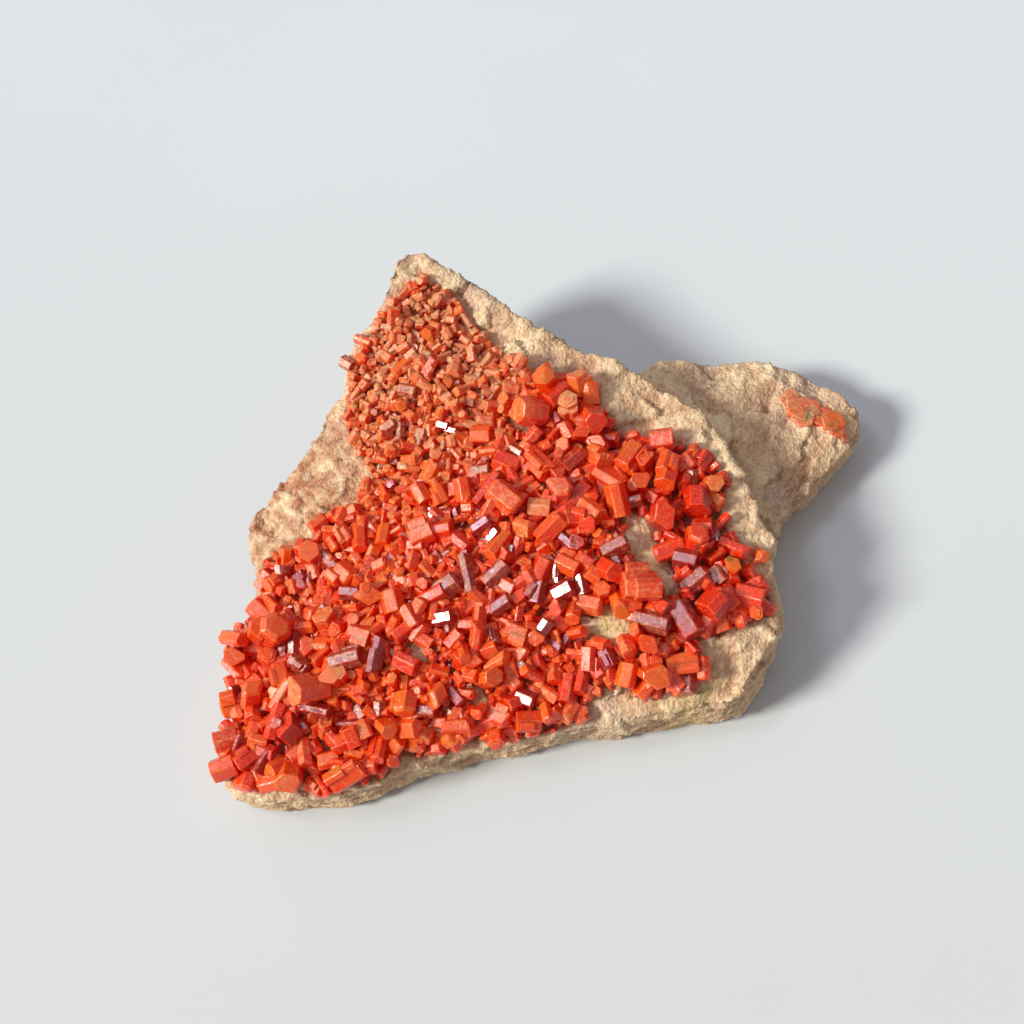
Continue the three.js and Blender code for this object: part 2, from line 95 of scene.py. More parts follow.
# The crystals that stand out, each (x, y, width, length, heading of its free end, lean from upright, kind).
# The letter is the colour: D deep red, R red, O orange, A amber, T tan with dust. A plus turns one face to
# mirror the lamp, and a minus turns one to the high window. A caret stands the crystal up as a long block.
LARGE_CRYSTALS = [
    # Front left corner
    (-33.3, -22.5, 1.8, 3, 100, 70, "R"), (-32, -26.5, 2.6, 4, 50, 75, "O"),
    (-35, -26.3, 3.2, 3, 180, 60, "O"), (-35.3, -31.5, 3, 3, 180, 50, "R"),
    (-31.7, -30.8, 2.4, 2.2, -90, 25, "O"), (-32.3, -34.3, 2.6, 3, -100, 25, "R"),
    (-35.1, -35.2, 3, 3, 200, 60, "O"), (-32.3, -36.7, 2.4, 2.4, -90, 30, "R"),
    (-30.8, -36, 1.7, 2.6, -60, 60, "O"), (-28.8, -30, 2.1, 4.5, 85, 70, "R"),
    (-27, -31, 2.6, 4.5, 80, 65, "D"), (-28.6, -24.2, 2.4, 3.5, -70, 60, "O"),
    (-26.3, -22.8, 2.3, 2.6, -45, 60, "R-"), (-24.6, -27, 3.2, 4.5, 40, 70, "O"),
    (-21.8, -27.7, 1.5, 2.8, -50, 75, "O"), (-22.7, -30.6, 1.7, 3.2, 65, 75, "O"),
    (-20.9, -32.2, 1.6, 3.5, 75, 75, "O"), (-18.6, -28.8, 1.8, 1.8, -90, 35, "R-"),
    (-16.2, -28.4, 1.6, 1.8, 90, 60, "R+"), (-16, -33, 1.9, 3.8, -88, 60, "R"),
    (-20, -36.3, 2.6, 4.5, 30, 65, "O"), (-24, -37, 2.1, 2.4, -90, 20, "O"),
    (-27, -36.3, 3.4, 3, -80, 40, "O"), (-25.3, -33.5, 1.9, 3.5, 120, 70, "O"),
    (-27.2, -33.6, 1.3, 2, 90, 60, "D"), (-21.7, -25.3, 2.6, 3.5, 20, 65, "O"),
    (-19, -30.6, 1.5, 1.6, -80, 40, "R"), (-29.8, -33.4, 2.2, 2.6, -60, 40, "D"),
    # Left edge
    (-35, -19, 2.1, 4, 160, 70, "O"), (-34.8, -21.2, 2.5, 3, 180, 60, "O"),
    (-32, -15.3, 2.6, 3, 150, 45, "O"), (-29.8, -18.5, 4, 4, -120, 55, "O"),
    (-27.3, -19.7, 1.8, 2.8, 88, 70, "R+"), (-27.8, -15.5, 1.5, 1.6, 60, 60, "R+"),
    (-25.7, -8.6, 2.9, 2.6, -90, 15, "O"), (-29, -8.3, 1.7, 2.4, 60, 50, "A"),
    (-26.8, -11.8, 1.8, 2.4, -90, 40, "D-"), (-30.5, -11.7, 2.3, 2, -100, 30, "O"),
    (-19.4, -6.8, 2.1, 4, 90, 70, "O"), (-21.5, -6.5, 2.1, 3, 100, 65, "O"),
    (-22, -3.5, 1.9, 2, -70, 45, "O"), (-18.6, -11.3, 1.7, 4, 60, 75, "D"), (-17.8, -15, 2.6, 4, 0, 70, "O"),
    (-14.7, -16.2, 2.8, 2.8, 120, 35, "O"), (-23, -14.5, 1.8, 2.6, 85, 60, "R"),
    (-21, -11.8, 2.8, 3, -60, 50, "O"), (-23, -17.8, 2.5, 3, 30, 60, "O"),
    (-18.5, -19.8, 2.8, 3, -30, 55, "R"), (-20.2, -23.2, 2.8, 4, 10, 80, "R-"),
    (-16.5, -22.3, 2.1, 4, 80, 75, "R-"), (-16.3, -6.8, 1.9, 3, 80, 65, "O"),
    # Front, left of the middle
    (-12.9, -23.4, 2.7, 3, -20, 45, "R"), (-9.3, -27.2, 2.6, 4, 80, 70, "O"),
    (-6.9, -26.9, 2.1, 2.4, -90, 30, "R-"), (-7.8, -28.5, 1.3, 1.6, -60, 60, "R+"),
    (-6.8, -30.3, 2.3, 3.5, 0, 75, "O"), (-10.4, -31.4, 1.9, 2, -90, 40, "O"),
    (-12.9, -28, 3, 3, -60, 40, "O"), (-2, -31.3, 2.3, 2.6, -90, 30, "O"),
    (-1.5, -29, 2.5, 2.8, -40, 50, "O"), (1.9, -29.6, 2.8, 3, 20, 60, "O"), (4.1, -28.2, 1.6, 4, 75, 75, "O"),
    (6.8, -25.8, 2.3, 3.5, 80, 70, "R"), (7, -28.3, 2.3, 2.6, -80, 30, "O"),
    (1.7, -27, 2.1, 2.4, -50, 50, "R+"), (1.5, -23.4, 2, 2.6, -60, 60, "R-"),
    (3, -22.4, 1.2, 2, 110, 70, "R"), (-2.3, -20.3, 1.5, 2, -90, 55, "R-"),
    (-2.8, -21.7, 1.9, 2, -60, 40, "O"), (-4.4, -21.5, 1.4, 2.4, 80, 65, "R"),
    (-6.3, -23, 1.7, 2.4, 0, 70, "R"), (-2.8, -25, 2.7, 3.2, -30, 50, "O"),
    (-12.2, -32, 1.7, 2.4, -80, 55, "A"), (3.9, -19, 2.1, 2.8, 50, 60, "R+"),
    (5.3, -20.6, 1.5, 2, -45, 60, "R-"), (6.6, -20.2, 1.3, 2, 60, 65, "R-"),
    (7.1, -23.5, 1.2, 1.8, 90, 60, "R"), (-7.6, -31.8, 1.8, 2.6, 10, 70, "A"),
    (-15.4, -30.8, 2.2, 2.8, -50, 50, "O"),
    # Middle
    (-3.2, -1.3, 1.8, 5, 55, 75, "D"), (-1, -2.8, 3.2, 4.6, -45, 65, "O"),
    (-3.8, -6.3, 1.9, 2.4, 30, 55, "R-"), (-2.3, -7.4, 1.5, 1.8, 40, 60, "R+"),
    (-1.8, -8.8, 2.1, 4, 55, 75, "O"), (-2, -12.5, 2.3, 3.6, 40, 75, "R-"), (0, -9.8, 1.5, 2.6, 85, 70, "R-"),
    (-5.5, -12.5, 2.1, 5, 105, 75, "R-"), (-8.1, -14.2, 2.8, 3, 30, 45, "R-"),
    (-9, -6.7, 2.8, 3.2, 0, 60, "R"), (-6.5, -8.3, 1.9, 3, 110, 60, "R"), (-8.4, -18, 2.1, 2.6, 0, 60, "O+"),
    (-4, -18, 1.8, 3.8, 88, 70, "O"), (-1.5, -16.3, 2.2, 2.8, 30, 60, "R-"), (3.2, -14.7, 2, 3, 80, 65, "R-"),
    (7, -11.5, 2.8, 3, -40, 50, "O"), (3.7, -11.8, 2.6, 2.8, 60, 45, "R"),
    (1.5, -6.7, 2.3, 2.6, -30, 45, "O"), (4.7, -6.8, 2.8, 4, 35, 65, "O"), (4, -8.6, 2, 2, -90, 40, "R"),
    (7, -8.2, 2.1, 2.6, -60, 55, "R-"), (3.5, -3.5, 2.6, 2.8, 150, 40, "T"),
    (6.2, -1.5, 3, 4.2, -30, 65, "R"), (8.3, -2, 2.2, 4.6, 50, 72, "D"), (-0.8, 2.5, 2.7, 3.2, -20, 50, "R"),
    (3.7, 2.4, 2.5, 4.6, -50, 65, "R"), (7.5, 2.7, 2.6, 3.2, 30, 60, "D"), (5.6, 1.3, 2.3, 3.4, -80, 60, "R"),
    (0.7, 4.4, 1.7, 1.8, -60, 55, "R+"), (-11.7, -1.2, 2.3, 2.8, -80, 60, "O"),
    (-9.2, -1.3, 2, 2.4, -60, 50, "O"), (-6.1, -1.1, 2.4, 3, -70, 60, "O"), (-11.4, -7, 3, 3, 10, 50, "O"),
    (-10.5, 1.9, 2.1, 3, 60, 65, "A"), (-12.4, -18, 2.5, 3, 100, 60, "O"), (-10.2, -4, 1.2, 1.8, 90, 65, "O+"),
    (6.4, -14.5, 2.3, 2.6, 20, 60, "R+"), (8.6, -13.6, 2, 2.6, 110, 60, "R+"),
    (5.6, -12, 1.4, 2.8, 85, 70, "R+"), (0.6, -19.6, 2.4, 2.8, -30, 50, "O"),
    # Right of the middle
    (18.8, -4.7, 3, 6, -65, 52, "R^"), (13.3, -2.9, 2.8, 4.2, -85, 62, "O"), (12.3, 0.9, 2.6, 4, -55, 65, "O"),
    (11, 3, 2.6, 3, -50, 55, "O"), (15, 3.6, 2.6, 4, 58, 65, "O"), (16, -0.2, 2.4, 3.8, 35, 70, "R"),
    (19.9, 1.3, 2.7, 4.8, 60, 70, "O"), (17, 2.8, 2.1, 4.2, 80, 70, "R"), (22.5, 3.1, 2.3, 2.4, -90, 45, "R"),
    (24.7, 3.4, 2, 3, 80, 65, "R"), (23.1, 0.7, 1.7, 3, 88, 70, "R+"), (25.7, 0.1, 2.3, 2.4, -60, 40, "A"),
    (23.4, -2.6, 3.6, 3.2, -100, 40, "D"), (26, -2.2, 1.8, 2, -50, 50, "A"),
    (24.9, -6.1, 1.6, 2.8, 110, 70, "R-"), (23, -8.1, 2.8, 3.6, -60, 60, "R"),
    (19.7, -8.9, 2.1, 4, 15, 72, "R"), (21.7, -10.6, 2.8, 3, -30, 50, "D-"),
    (22.6, -13.4, 2.2, 3.6, 35, 72, "D-"), (25.8, -12.3, 2.4, 2.4, -90, 35, "R-"),
    (27.5, -11.3, 1.9, 2.6, -50, 60, "A"), (12.8, -9.1, 2.6, 3.4, 20, 55, "R-"),
    (9.8, -10.7, 1.5, 1.8, -40, 60, "R+"), (11.9, -12.4, 2.8, 2.8, -60, 35, "R"),
    (15.7, -14.3, 4.3, 4.4, 140, 30, "R"), (17.2, -18.5, 2.8, 4.4, -25, 62, "R-"),
    (18.5, -16.8, 2.5, 3, -60, 45, "D"), (20, -16.3, 1.7, 2.4, 90, 60, "R"),
    (21.2, -18.3, 3.3, 4.6, -75, 60, "D-"), (25, -16.2, 3.6, 3.4, -120, 50, "D"),
    (26.8, -15.1, 3, 3.2, 0, 60, "R"), (29.7, -14.7, 3.4, 3.6, -20, 65, "R"),
    (31.7, -15.7, 1.9, 2.4, -10, 75, "R"), (25.8, -17.8, 2.4, 2.6, -80, 50, "O"),
    (30.4, -16.6, 1.9, 2, -60, 55, "O"), (7.2, -5.2, 2.6, 2.8, -60, 45, "R"),
    (8.8, -6.6, 1.9, 2, -90, 45, "R"), (10, -4.3, 2.6, 3.6, -40, 60, "O"), (8.7, 0.7, 2.1, 2.2, -70, 45, "R"),
    (13.3, -16.4, 2.6, 2.6, -60, 40, "A"), (9.6, -16, 2.6, 3, -20, 60, "O"),
    (14.8, -11.3, 1.8, 2.4, -20, 60, "D"),
    # Front right
    (11.7, -22.4, 2.3, 2.4, -90, 45, "R-"), (9.3, -22.4, 2.1, 3, 80, 60, "R"),
    (14.2, -21.2, 2.4, 2.6, -60, 45, "O"), (16.4, -21.2, 2.4, 3, -45, 60, "R"),
    (21, -22.9, 2.8, 4, 10, 68, "O"), (23.6, -23.4, 2, 3, -70, 60, "R"),
    (17.5, -24.6, 3.2, 4.6, 170, 75, "O"), (20.3, -24.9, 2.6, 3, -60, 55, "O"),
    (14, -24.4, 2.6, 3, -110, 50, "A"), (8.5, -24.8, 1.9, 3.6, 85, 70, "R"),
    (18.6, -21.6, 2, 2.6, -40, 60, "D"),
    # Upper middle
    (2.4, 8.7, 4.2, 4, -150, 40, "O"), (4.5, 13.5, 2.8, 3, 20, 55, "A"), (5.6, 11.6, 2.6, 3.6, 10, 65, "R"),
    (7.3, 10.1, 2.6, 3, 0, 60, "T"), (8.7, 13.6, 2.7, 3, 70, 55, "A"), (10.3, 12.4, 2.6, 3, -60, 50, "A"),
    (6.2, 8.2, 1.9, 2.2, -90, 45, "D-"), (10.4, 8.3, 3.2, 3.6, -70, 50, "R"),
    (8.9, 6.6, 2.2, 4.4, 35, 72, "R"), (11, 5.4, 2.4, 3, -30, 55, "R"), (12.8, 6.4, 2.1, 2.4, -20, 60, "D"),
    (19.4, 5.9, 3, 3, 60, 40, "R"), (-4, 6.8, 2.4, 2.6, -40, 50, "O"), (2.2, 11.6, 2, 2.2, -60, 50, "A"),
    (-0.2, 13.2, 2, 2.2, -50, 50, "T"), (1, 16.4, 1.8, 2, 60, 50, "T"),
    # Raised end, smaller crystals
    (-12.8, 26.6, 1.6, 1.8, -70, 40, "O"), (-9.9, 25.2, 1.4, 2.4, 90, 60, "T"),
    (-21.8, 17.5, 1.9, 2, 170, 60, "T+"), (-16.5, 17.7, 1.6, 1.8, -60, 45, "A"),
    (-14.5, 16, 1.6, 2.8, 55, 70, "A"), (-10.7, 15.4, 1.4, 2.8, 40, 70, "D"),
    (-13.6, 12.5, 1.9, 2.4, -30, 55, "T-"), (-8.9, 7.9, 1.3, 1.6, -40, 55, "O+"),
    (-7.8, 7.3, 1.3, 1.6, -40, 55, "O+"), (-16.1, 8.2, 1.7, 2, 30, 50, "T-"),
    (-12, 6.8, 1.5, 2.2, 85, 60, "T-"), (-7.6, 15.3, 2.1, 2.2, -90, 35, "T"),
    (-11, 20.7, 1.7, 2.2, 60, 60, "A"), (-8.4, 13.8, 1.3, 2.4, 100, 65, "O"),
    (-2.7, 8.7, 1.4, 2.6, 90, 65, "A"), (-5.8, 19.8, 1.6, 2, -80, 40, "T"), (-19.8, 17.6, 1.6, 2, 160, 55, "O"),
    (-12.4, 13.8, 1.3, 2.4, 95, 65, "A"), (-14.6, 10.8, 1.7, 2, -50, 50, "A"),
    (-18.2, 12.8, 1.6, 2, 120, 50, "T"),
]
TONES = {"D": 0.0, "R": 1.0, "O": 2.0, "A": 3.0, "T": 2.4}
CLEAR_TONE = -1.4
MIRROR_CODES = "+-"

# How the smaller crystals change over the crust: (x, y, width, tone, dust, share of the gaps filled).
CRUST_ZONES = [
    (-12, 25.8, 1.15, 2.5, 0.6, 1), (-19, 15.4, 1.15, 2.4, 0.65, 1), (-10, 17.3, 1.15, 2.5, 0.6, 1),
    (-3, 15.4, 1.2, 2.4, 0.6, 1), (-18, 5.8, 1.15, 2.5, 0.45, 1), (-8, 7.7, 1.2, 2.5, 0.4, 1),
    (0, 10.6, 1.35, 2.2, 0.35, 1), (8, 12.6, 1.6, 1.6, 0.3, 0.7), (3, 4.8, 1.6, 1.1, 0.15, 0.8),
    (-14, -1, 1.3, 2.1, 0.2, 1), (-5, -4, 1.5, 1.4, 0.12, 0.9), (-14, -10, 1.4, 1.8, 0.15, 1),
    (-27, -11, 1.6, 1.6, 0.2, 0.8), (-22, -14, 1.5, 1.5, 0.1, 0.9), (-31, -26, 2, 1.6, 0.08, 0.7),
    (-21, -31, 1.8, 1.4, 0.08, 0.8), (-10, -19, 1.6, 1.5, 0.1, 0.9), (-9, -30, 1.7, 1.8, 0.15, 0.9),
    (0, -14, 1.6, 1.2, 0.1, 0.9), (2, -25, 1.6, 1.7, 0.15, 0.9), (9, -16, 1.8, 1.2, 0.1, 0.7),
    (9, -3, 1.8, 0.9, 0.08, 0.7), (20, -0.2, 2, 0.7, 0.06, 0.35), (22, -13.2, 2.1, 0.6, 0.06, 0.35),
    (16, -22, 1.7, 1.7, 0.15, 0.7), (29, -15.3, 2.2, 1, 0.08, 0.5), (25, 2.6, 1.9, 1.2, 0.1, 0.35),
    (20, -7.2, 2, 0.6, 0.06, 0.2), (14, 1.9, 1.8, 1.2, 0.1, 0.45),
]

# Stains on the bare rock: (x, y, radius, strength).
RUST_STAINS = [
    (-27, -3, 11, 1.1), (-28, -3, 4.5, 1.3), (-24.5, 3.5, 3.5, 0.7), (-31.5, -6, 3, 0.8), (-22.5, 8.7, 2.5, 0.5),
    (6, 20.2, 3, 0.35), (-30, -10, 2, 0.6), (16.5, 12.1, 2.5, 0.35), (-3, 23.4, 2, 0.3), (12, -19, 2.5, 0.5),
]
OCHRE_STAINS = [(22.5, -25.5, 3.2, 0.8), (12, -18.5, 2.5, 0.9), (17, -11, 2, 0.5)]

# The layers of smaller crystals: how many places are tried, how close they come as a share of the local width,
# their size and how deep they may sink, and how much of a large crystal's footprint stays clear of them.
CRUST_LAYERS = [
    {"name": "medium_crystals", "count": 9000, "spacing": 0.8, "size": 1.08, "sink": 0.5, "taken_share": 0.9,
     "seed": 21},
    {"name": "small_crystals", "count": 12000, "spacing": 0.6, "size": 0.8, "sink": 0.7, "taken_share": 0.8,
     "seed": 34},
    {"name": "crystal_crumbs", "count": 16000, "spacing": 0.42, "size": 0.42, "sink": 0.2, "taken_share": 0.7,
     "seed": 55},
]

# Crystals apart from the crust. Those on the ledge are (x, y, width, length, heading, lean, form, tone, dust), and
# those on the rim stop at the lean.
LEDGE_CRYSTALS = [
    (40.2, 15.6, 5.4, 3, 200, 3, "chipped", 1.0, 0.5), (38.5, 16.7, 3.6, 2.6, 150, 5, "plain", 1.1, 0.55),
    (42.1, 14.7, 4.2, 3, 40, 4, "chipped", 0.9, 0.45), (44, 13.6, 3.8, 2.8, 300, 5, "chipped", 1.9, 0.2),
    (44.6, 12.6, 2.8, 2, 20, 6, "plain", 2.2, 0.3), (45.6, 11.7, 1.6, 1.6, 250, 8, "plain", 2.4, 0.4),
    (39.9, 14.1, 3.2, 2.4, 100, 5, "plain", 1.0, 0.5),
]
RIM_CRYSTALS = [(31.5, -9.1, 1.6, 1.8, -60, 50), (30.9, -9.7, 0.8, 1, 40, 60)]


# ---- Places and shapes ----
def shift():
    """From the lists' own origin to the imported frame's, in millimetres."""
    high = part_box("matrix")[1] / MM
    return Vector((high.x - LEDGE_TIP_X, high.y - APEX_Y, 0))


def signed_distance(points, loop):
    """Distance of each point from a closed loop, above zero inside it."""
    corners = np.array(loop, float)
    nexts = np.roll(corners, -1, axis=0)
    nearest = np.full(len(points), np.inf)
    inside = np.zeros(len(points), bool)
    for (ax, ay), (bx, by) in zip(corners, nexts):
        edge = np.array((bx - ax, by - ay))
        along = np.clip(((points[:, 0] - ax) * edge[0] + (points[:, 1] - ay) * edge[1]) / (edge @ edge), 0, 1)
        gap = np.hypot(points[:, 0] - ax - along * edge[0], points[:, 1] - ay - along * edge[1])
        nearest = np.minimum(nearest, gap)
        if ay != by:
            crossing = (points[:, 1] < ay) != (points[:, 1] < by)
            inside ^= crossing & (points[:, 0] < ax + (points[:, 1] - ay) * (bx - ax) / (by - ay))
    return np.where(inside, nearest, -nearest)


def crust_depth(points):
    """How far each point lies inside the crust, in millimetres, below zero outside it or on a bare patch."""
    depth = signed_distance(points, CRUST_OUTLINE)
    for patch in BARE_PATCHES:
        depth = np.minimum(depth, -signed_distance(points, patch))
    return depth


def smooth_step(value, low, high):
    share = np.clip((value - low) / (high - low), 0, 1)
    return share * share * (3 - 2 * share)


def add_object(name, mesh, material, slot=None, replaced=()):
    """Puts a finished mesh into the scene; given a slot, as a piece that rides on the specimen in place of the
    imported parts that it replaces.
    """
    piece = bpy.data.objects.new(name, mesh)
    bpy.context.scene.collection.objects.link(piece)
    mesh.materials.append(material)
    if slot:
        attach(piece, "root")
        for node in replaced:
            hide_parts(node)
    return piece


def put_values(mesh, name, values, domain="POINT"):
    attribute = mesh.attributes.new(name, "FLOAT", domain)
    attribute.data.foreach_set("value", np.asarray(values, np.float32))


# ---- Node helpers ----
class Tree:
    """Adds and joins the nodes of one shader tree."""

    def __init__(self, tree):
        self.tree = tree

    def add(self, kind, inputs=None, **settings):
        node = self.tree.nodes.new(kind)
        for key, value in settings.items():
            setattr(node, key, value)
        for key, value in (inputs or {}).items():
            self.put(node.inputs[key], value)
        return node

    def put(self, socket, value):
        if isinstance(value, bpy.types.NodeSocket):
            self.tree.links.new(value, socket)
        elif socket.type == "RGBA" and len(value) == 3:
            socket.default_value = (*value, 1)
        else:
            socket.default_value = value

    def place(self):
        return self.add("ShaderNodeTexCoord").outputs["Object"]

    def noise(self, place, size, detail=3, roughness=0.55):
        """Cloudy values from 0 to 1, with clouds of about the given size in millimetres."""
        node = self.add(
            "ShaderNodeTexNoise",
            {"Vector": place, "Scale": 1 / (size * MM), "Detail": detail, "Roughness": roughness},
        )
        return node.outputs["Fac"]

    def ramp(self, value, low, high, to_low=0.0, to_high=1.0):
        """Stretches the values between low and high, and holds those beyond."""
        node = self.add(
            "ShaderNodeMapRange",
            {"Value": value, "From Min": low, "From Max": high, "To Min": to_low, "To Max": to_high},
        )
        return node.outputs["Result"]

    def colours(self, value, stops):
        node = self.add("ShaderNodeValToRGB", {"Fac": value})
        elements = node.color_ramp.elements
        while len(elements) < len(stops):
            elements.new(0.5)
        for element, (position, colour) in zip(elements, stops):
            element.position = position
            element.color = (*colour, 1)
        return node.outputs["Color"]

    def mix(self, share, first, second, blend="MIX"):
        node = self.add("ShaderNodeMix", data_type="RGBA", blend_type=blend)
        self.put(node.inputs[0], share)
        self.put(node.inputs[6], first)
        self.put(node.inputs[7], second)
        return node.outputs[2]

    def math(self, operation, *values):
        node = self.add("ShaderNodeMath", operation=operation)
        for socket, value in zip(node.inputs, values):
            self.put(socket, value)
        return node.outputs[0]

    def mix_value(self, share, first, second):
        node = self.add("ShaderNodeMix", data_type="FLOAT")
        self.put(node.inputs[0], share)
        self.put(node.inputs[2], first)
        self.put(node.inputs[3], second)
        return node.outputs[0]

    def towards(self, direction, fixed):
        """How nearly a direction runs along a fixed one, from -1 to 1."""
        return self.add("ShaderNodeVectorMath", {0: direction, 1: fixed}, operation="DOT_PRODUCT").outputs["Value"]

    def mark(self, name):
        return self.add("ShaderNodeAttribute", attribute_name=name).outputs["Fac"]

    def bump(self, height, strength, distance, normal=None):
        node = self.add("ShaderNodeBump", {"Strength": strength, "Distance": distance * MM, "Height": height})
        if normal is not None:
            self.put(node.inputs["Normal"], normal)
        return node.outputs["Normal"]

    def use(self, group, inputs=None):
        node = self.add("ShaderNodeGroup", node_tree=group)
        for key, value in (inputs or {}).items():
            self.put(node.inputs[key], value)
        return node.outputs


def node_group(name, inputs, outputs):
    """An empty node group with named sockets, each (name, kind, default) or (name, kind)."""
    group = bpy.data.node_groups.new(name, "ShaderNodeTree")
    for socket_name, kind, default in inputs:
        socket = group.interface.new_socket(socket_name, in_out="INPUT", socket_type=kind)
        socket.default_value = default
    for socket_name, kind in outputs:
        group.interface.new_socket(socket_name, in_out="OUTPUT", socket_type=kind)
    tree = Tree(group)
    given = tree.add("NodeGroupInput").outputs
    result = tree.add("NodeGroupOutput").inputs
    return group, tree, given, result


def new_material(name):
    material = bpy.data.materials.new(name)
    material.use_nodes = True
    material.node_tree.nodes.clear()
    tree = Tree(material.node_tree)
    shader = tree.add("ShaderNodeBsdfPrincipled")
    output = tree.add("ShaderNodeOutputMaterial")
    tree.put(output.inputs["Surface"], shader.outputs[0])
    return material, tree, shader.inputs


# ---- Shared finishes ----
def sand_group():
    """Sand grains: a tint from dark to light grains, and their height."""
    name = "Sand grains"
    if name in bpy.data.node_groups:
        return bpy.data.node_groups[name]
    inputs = [("Grain", "NodeSocketFloat", 2200.0)]
    outputs = [("Tint", "NodeSocketFloat"), ("Height", "NodeSocketFloat")]
    group, tree, given, result = node_group(name, inputs, outputs)
    place = tree.place()
    wander = tree.add("ShaderNodeTexNoise", {"Vector": place, "Scale": 900.0}).outputs["Color"]
    spread = (0.6 * MM, 0.6 * MM, 0.6 * MM)
    offset = tree.add("ShaderNodeVectorMath", {0: wander, 1: spread, 2: place}, operation="MULTIPLY_ADD").outputs[0]
    grains = tree.add("ShaderNodeTexVoronoi", {"Vector": offset, "Scale": given["Grain"]})
    fine = tree.add("ShaderNodeTexNoise", {"Vector": place, "Scale": given["Grain"], "Detail": 4.0, "Roughness": 0.7})
    tint = tree.add("ShaderNodeSeparateColor", {"Color": grains.outputs["Color"]}).outputs[0]
    tree.put(result["Tint"], tree.math("MULTIPLY_ADD", tint, 0.6, tree.math("MULTIPLY", fine.outputs["Fac"], 0.4)))
    rounded = tree.math("SUBTRACT", 1.0, grains.outputs["Distance"])
    tree.put(result["Height"], tree.math("MULTIPLY_ADD", fine.outputs["Fac"], 0.8, rounded))
    return group


def growth_group():
    """Growth marks of the crystal faces: a cloudy mask of flaws, and the height of steps and pits."""
    name = "Growth marks"
    if name in bpy.data.node_groups:
        return bpy.data.node_groups[name]
    inputs = [("Along", "NodeSocketFloat", 0.5)]
    outputs = [("Flaws", "NodeSocketFloat"), ("Sugar", "NodeSocketFloat"), ("Height", "NodeSocketFloat")]
    group, tree, given, result = node_group(name, inputs, outputs)
    place = tree.place()
    veils = tree.noise(place, 0.9, detail=5, roughness=0.7)
    tree.put(result["Flaws"], tree.ramp(veils, 0.38, 0.68))
    sugar = tree.noise(place, 0.26, detail=4, roughness=0.75)
    tree.put(result["Sugar"], tree.ramp(sugar, 0.52, 0.64))
    wander = tree.noise(place, 1.6, detail=2)
    phase = tree.math("MULTIPLY_ADD", given["Along"], 60.0, tree.math("MULTIPLY", wander, 30.0))
    steps = tree.math("SINE", phase)
    pits = tree.ramp(tree.noise(place, 0.28, detail=3), 0.5, 0.7)
    rough = tree.math("MULTIPLY_ADD", sugar, 1.6, pits)
    tree.put(result["Height"], tree.math("MULTIPLY_ADD", steps, 0.18, rough))
    return group


def lamp_lit_and_dusted_side(tree):
    """How squarely a face looks towards the lamp's side, from -1 to 1. The dust settled on that side, and the crystal
    colours use it for painted light: paler faces and brighter specks towards the lamp, and faces turned away painted
    redder and given a painted glow.
    """
    facing = tree.add("ShaderNodeNewGeometry").outputs["Normal"]
    return tree.towards(facing, LAMP_AND_DUST_SIDE)


def dust_group():
    """A coat of sandy dust: its share at a point, from a crystal's own dustiness and patchy noise."""
    name = "Sandy dust"
    if name in bpy.data.node_groups:
        return bpy.data.node_groups[name]
    inputs = [("Amount", "NodeSocketFloat", 0.2)]
    outputs = [("Cover", "NodeSocketFloat")]
    group, tree, given, result = node_group(name, inputs, outputs)
    place = tree.place()
    patches = tree.noise(place, 0.7, detail=5, roughness=0.7)
    settled = tree.ramp(lamp_lit_and_dusted_side(tree), -0.2, 1.0, 0.5, 1.15)
    level = tree.math("MULTIPLY", given["Amount"], settled)
    reach = tree.math("ADD", level, tree.ramp(patches, 0.25, 0.75, -0.5, 0.5))
    tree.put(result["Cover"], tree.ramp(reach, 0.1, 0.75, 0.0, 0.85))
    return group


# ---- Materials ----
# Overlay tones of the sand grains, from the darkest to the palest.
SAND_TONES = [(0, (0.32, 0.29, 0.27)), (0.5, (0.5, 0.5, 0.5)), (1, (0.66, 0.67, 0.68))]


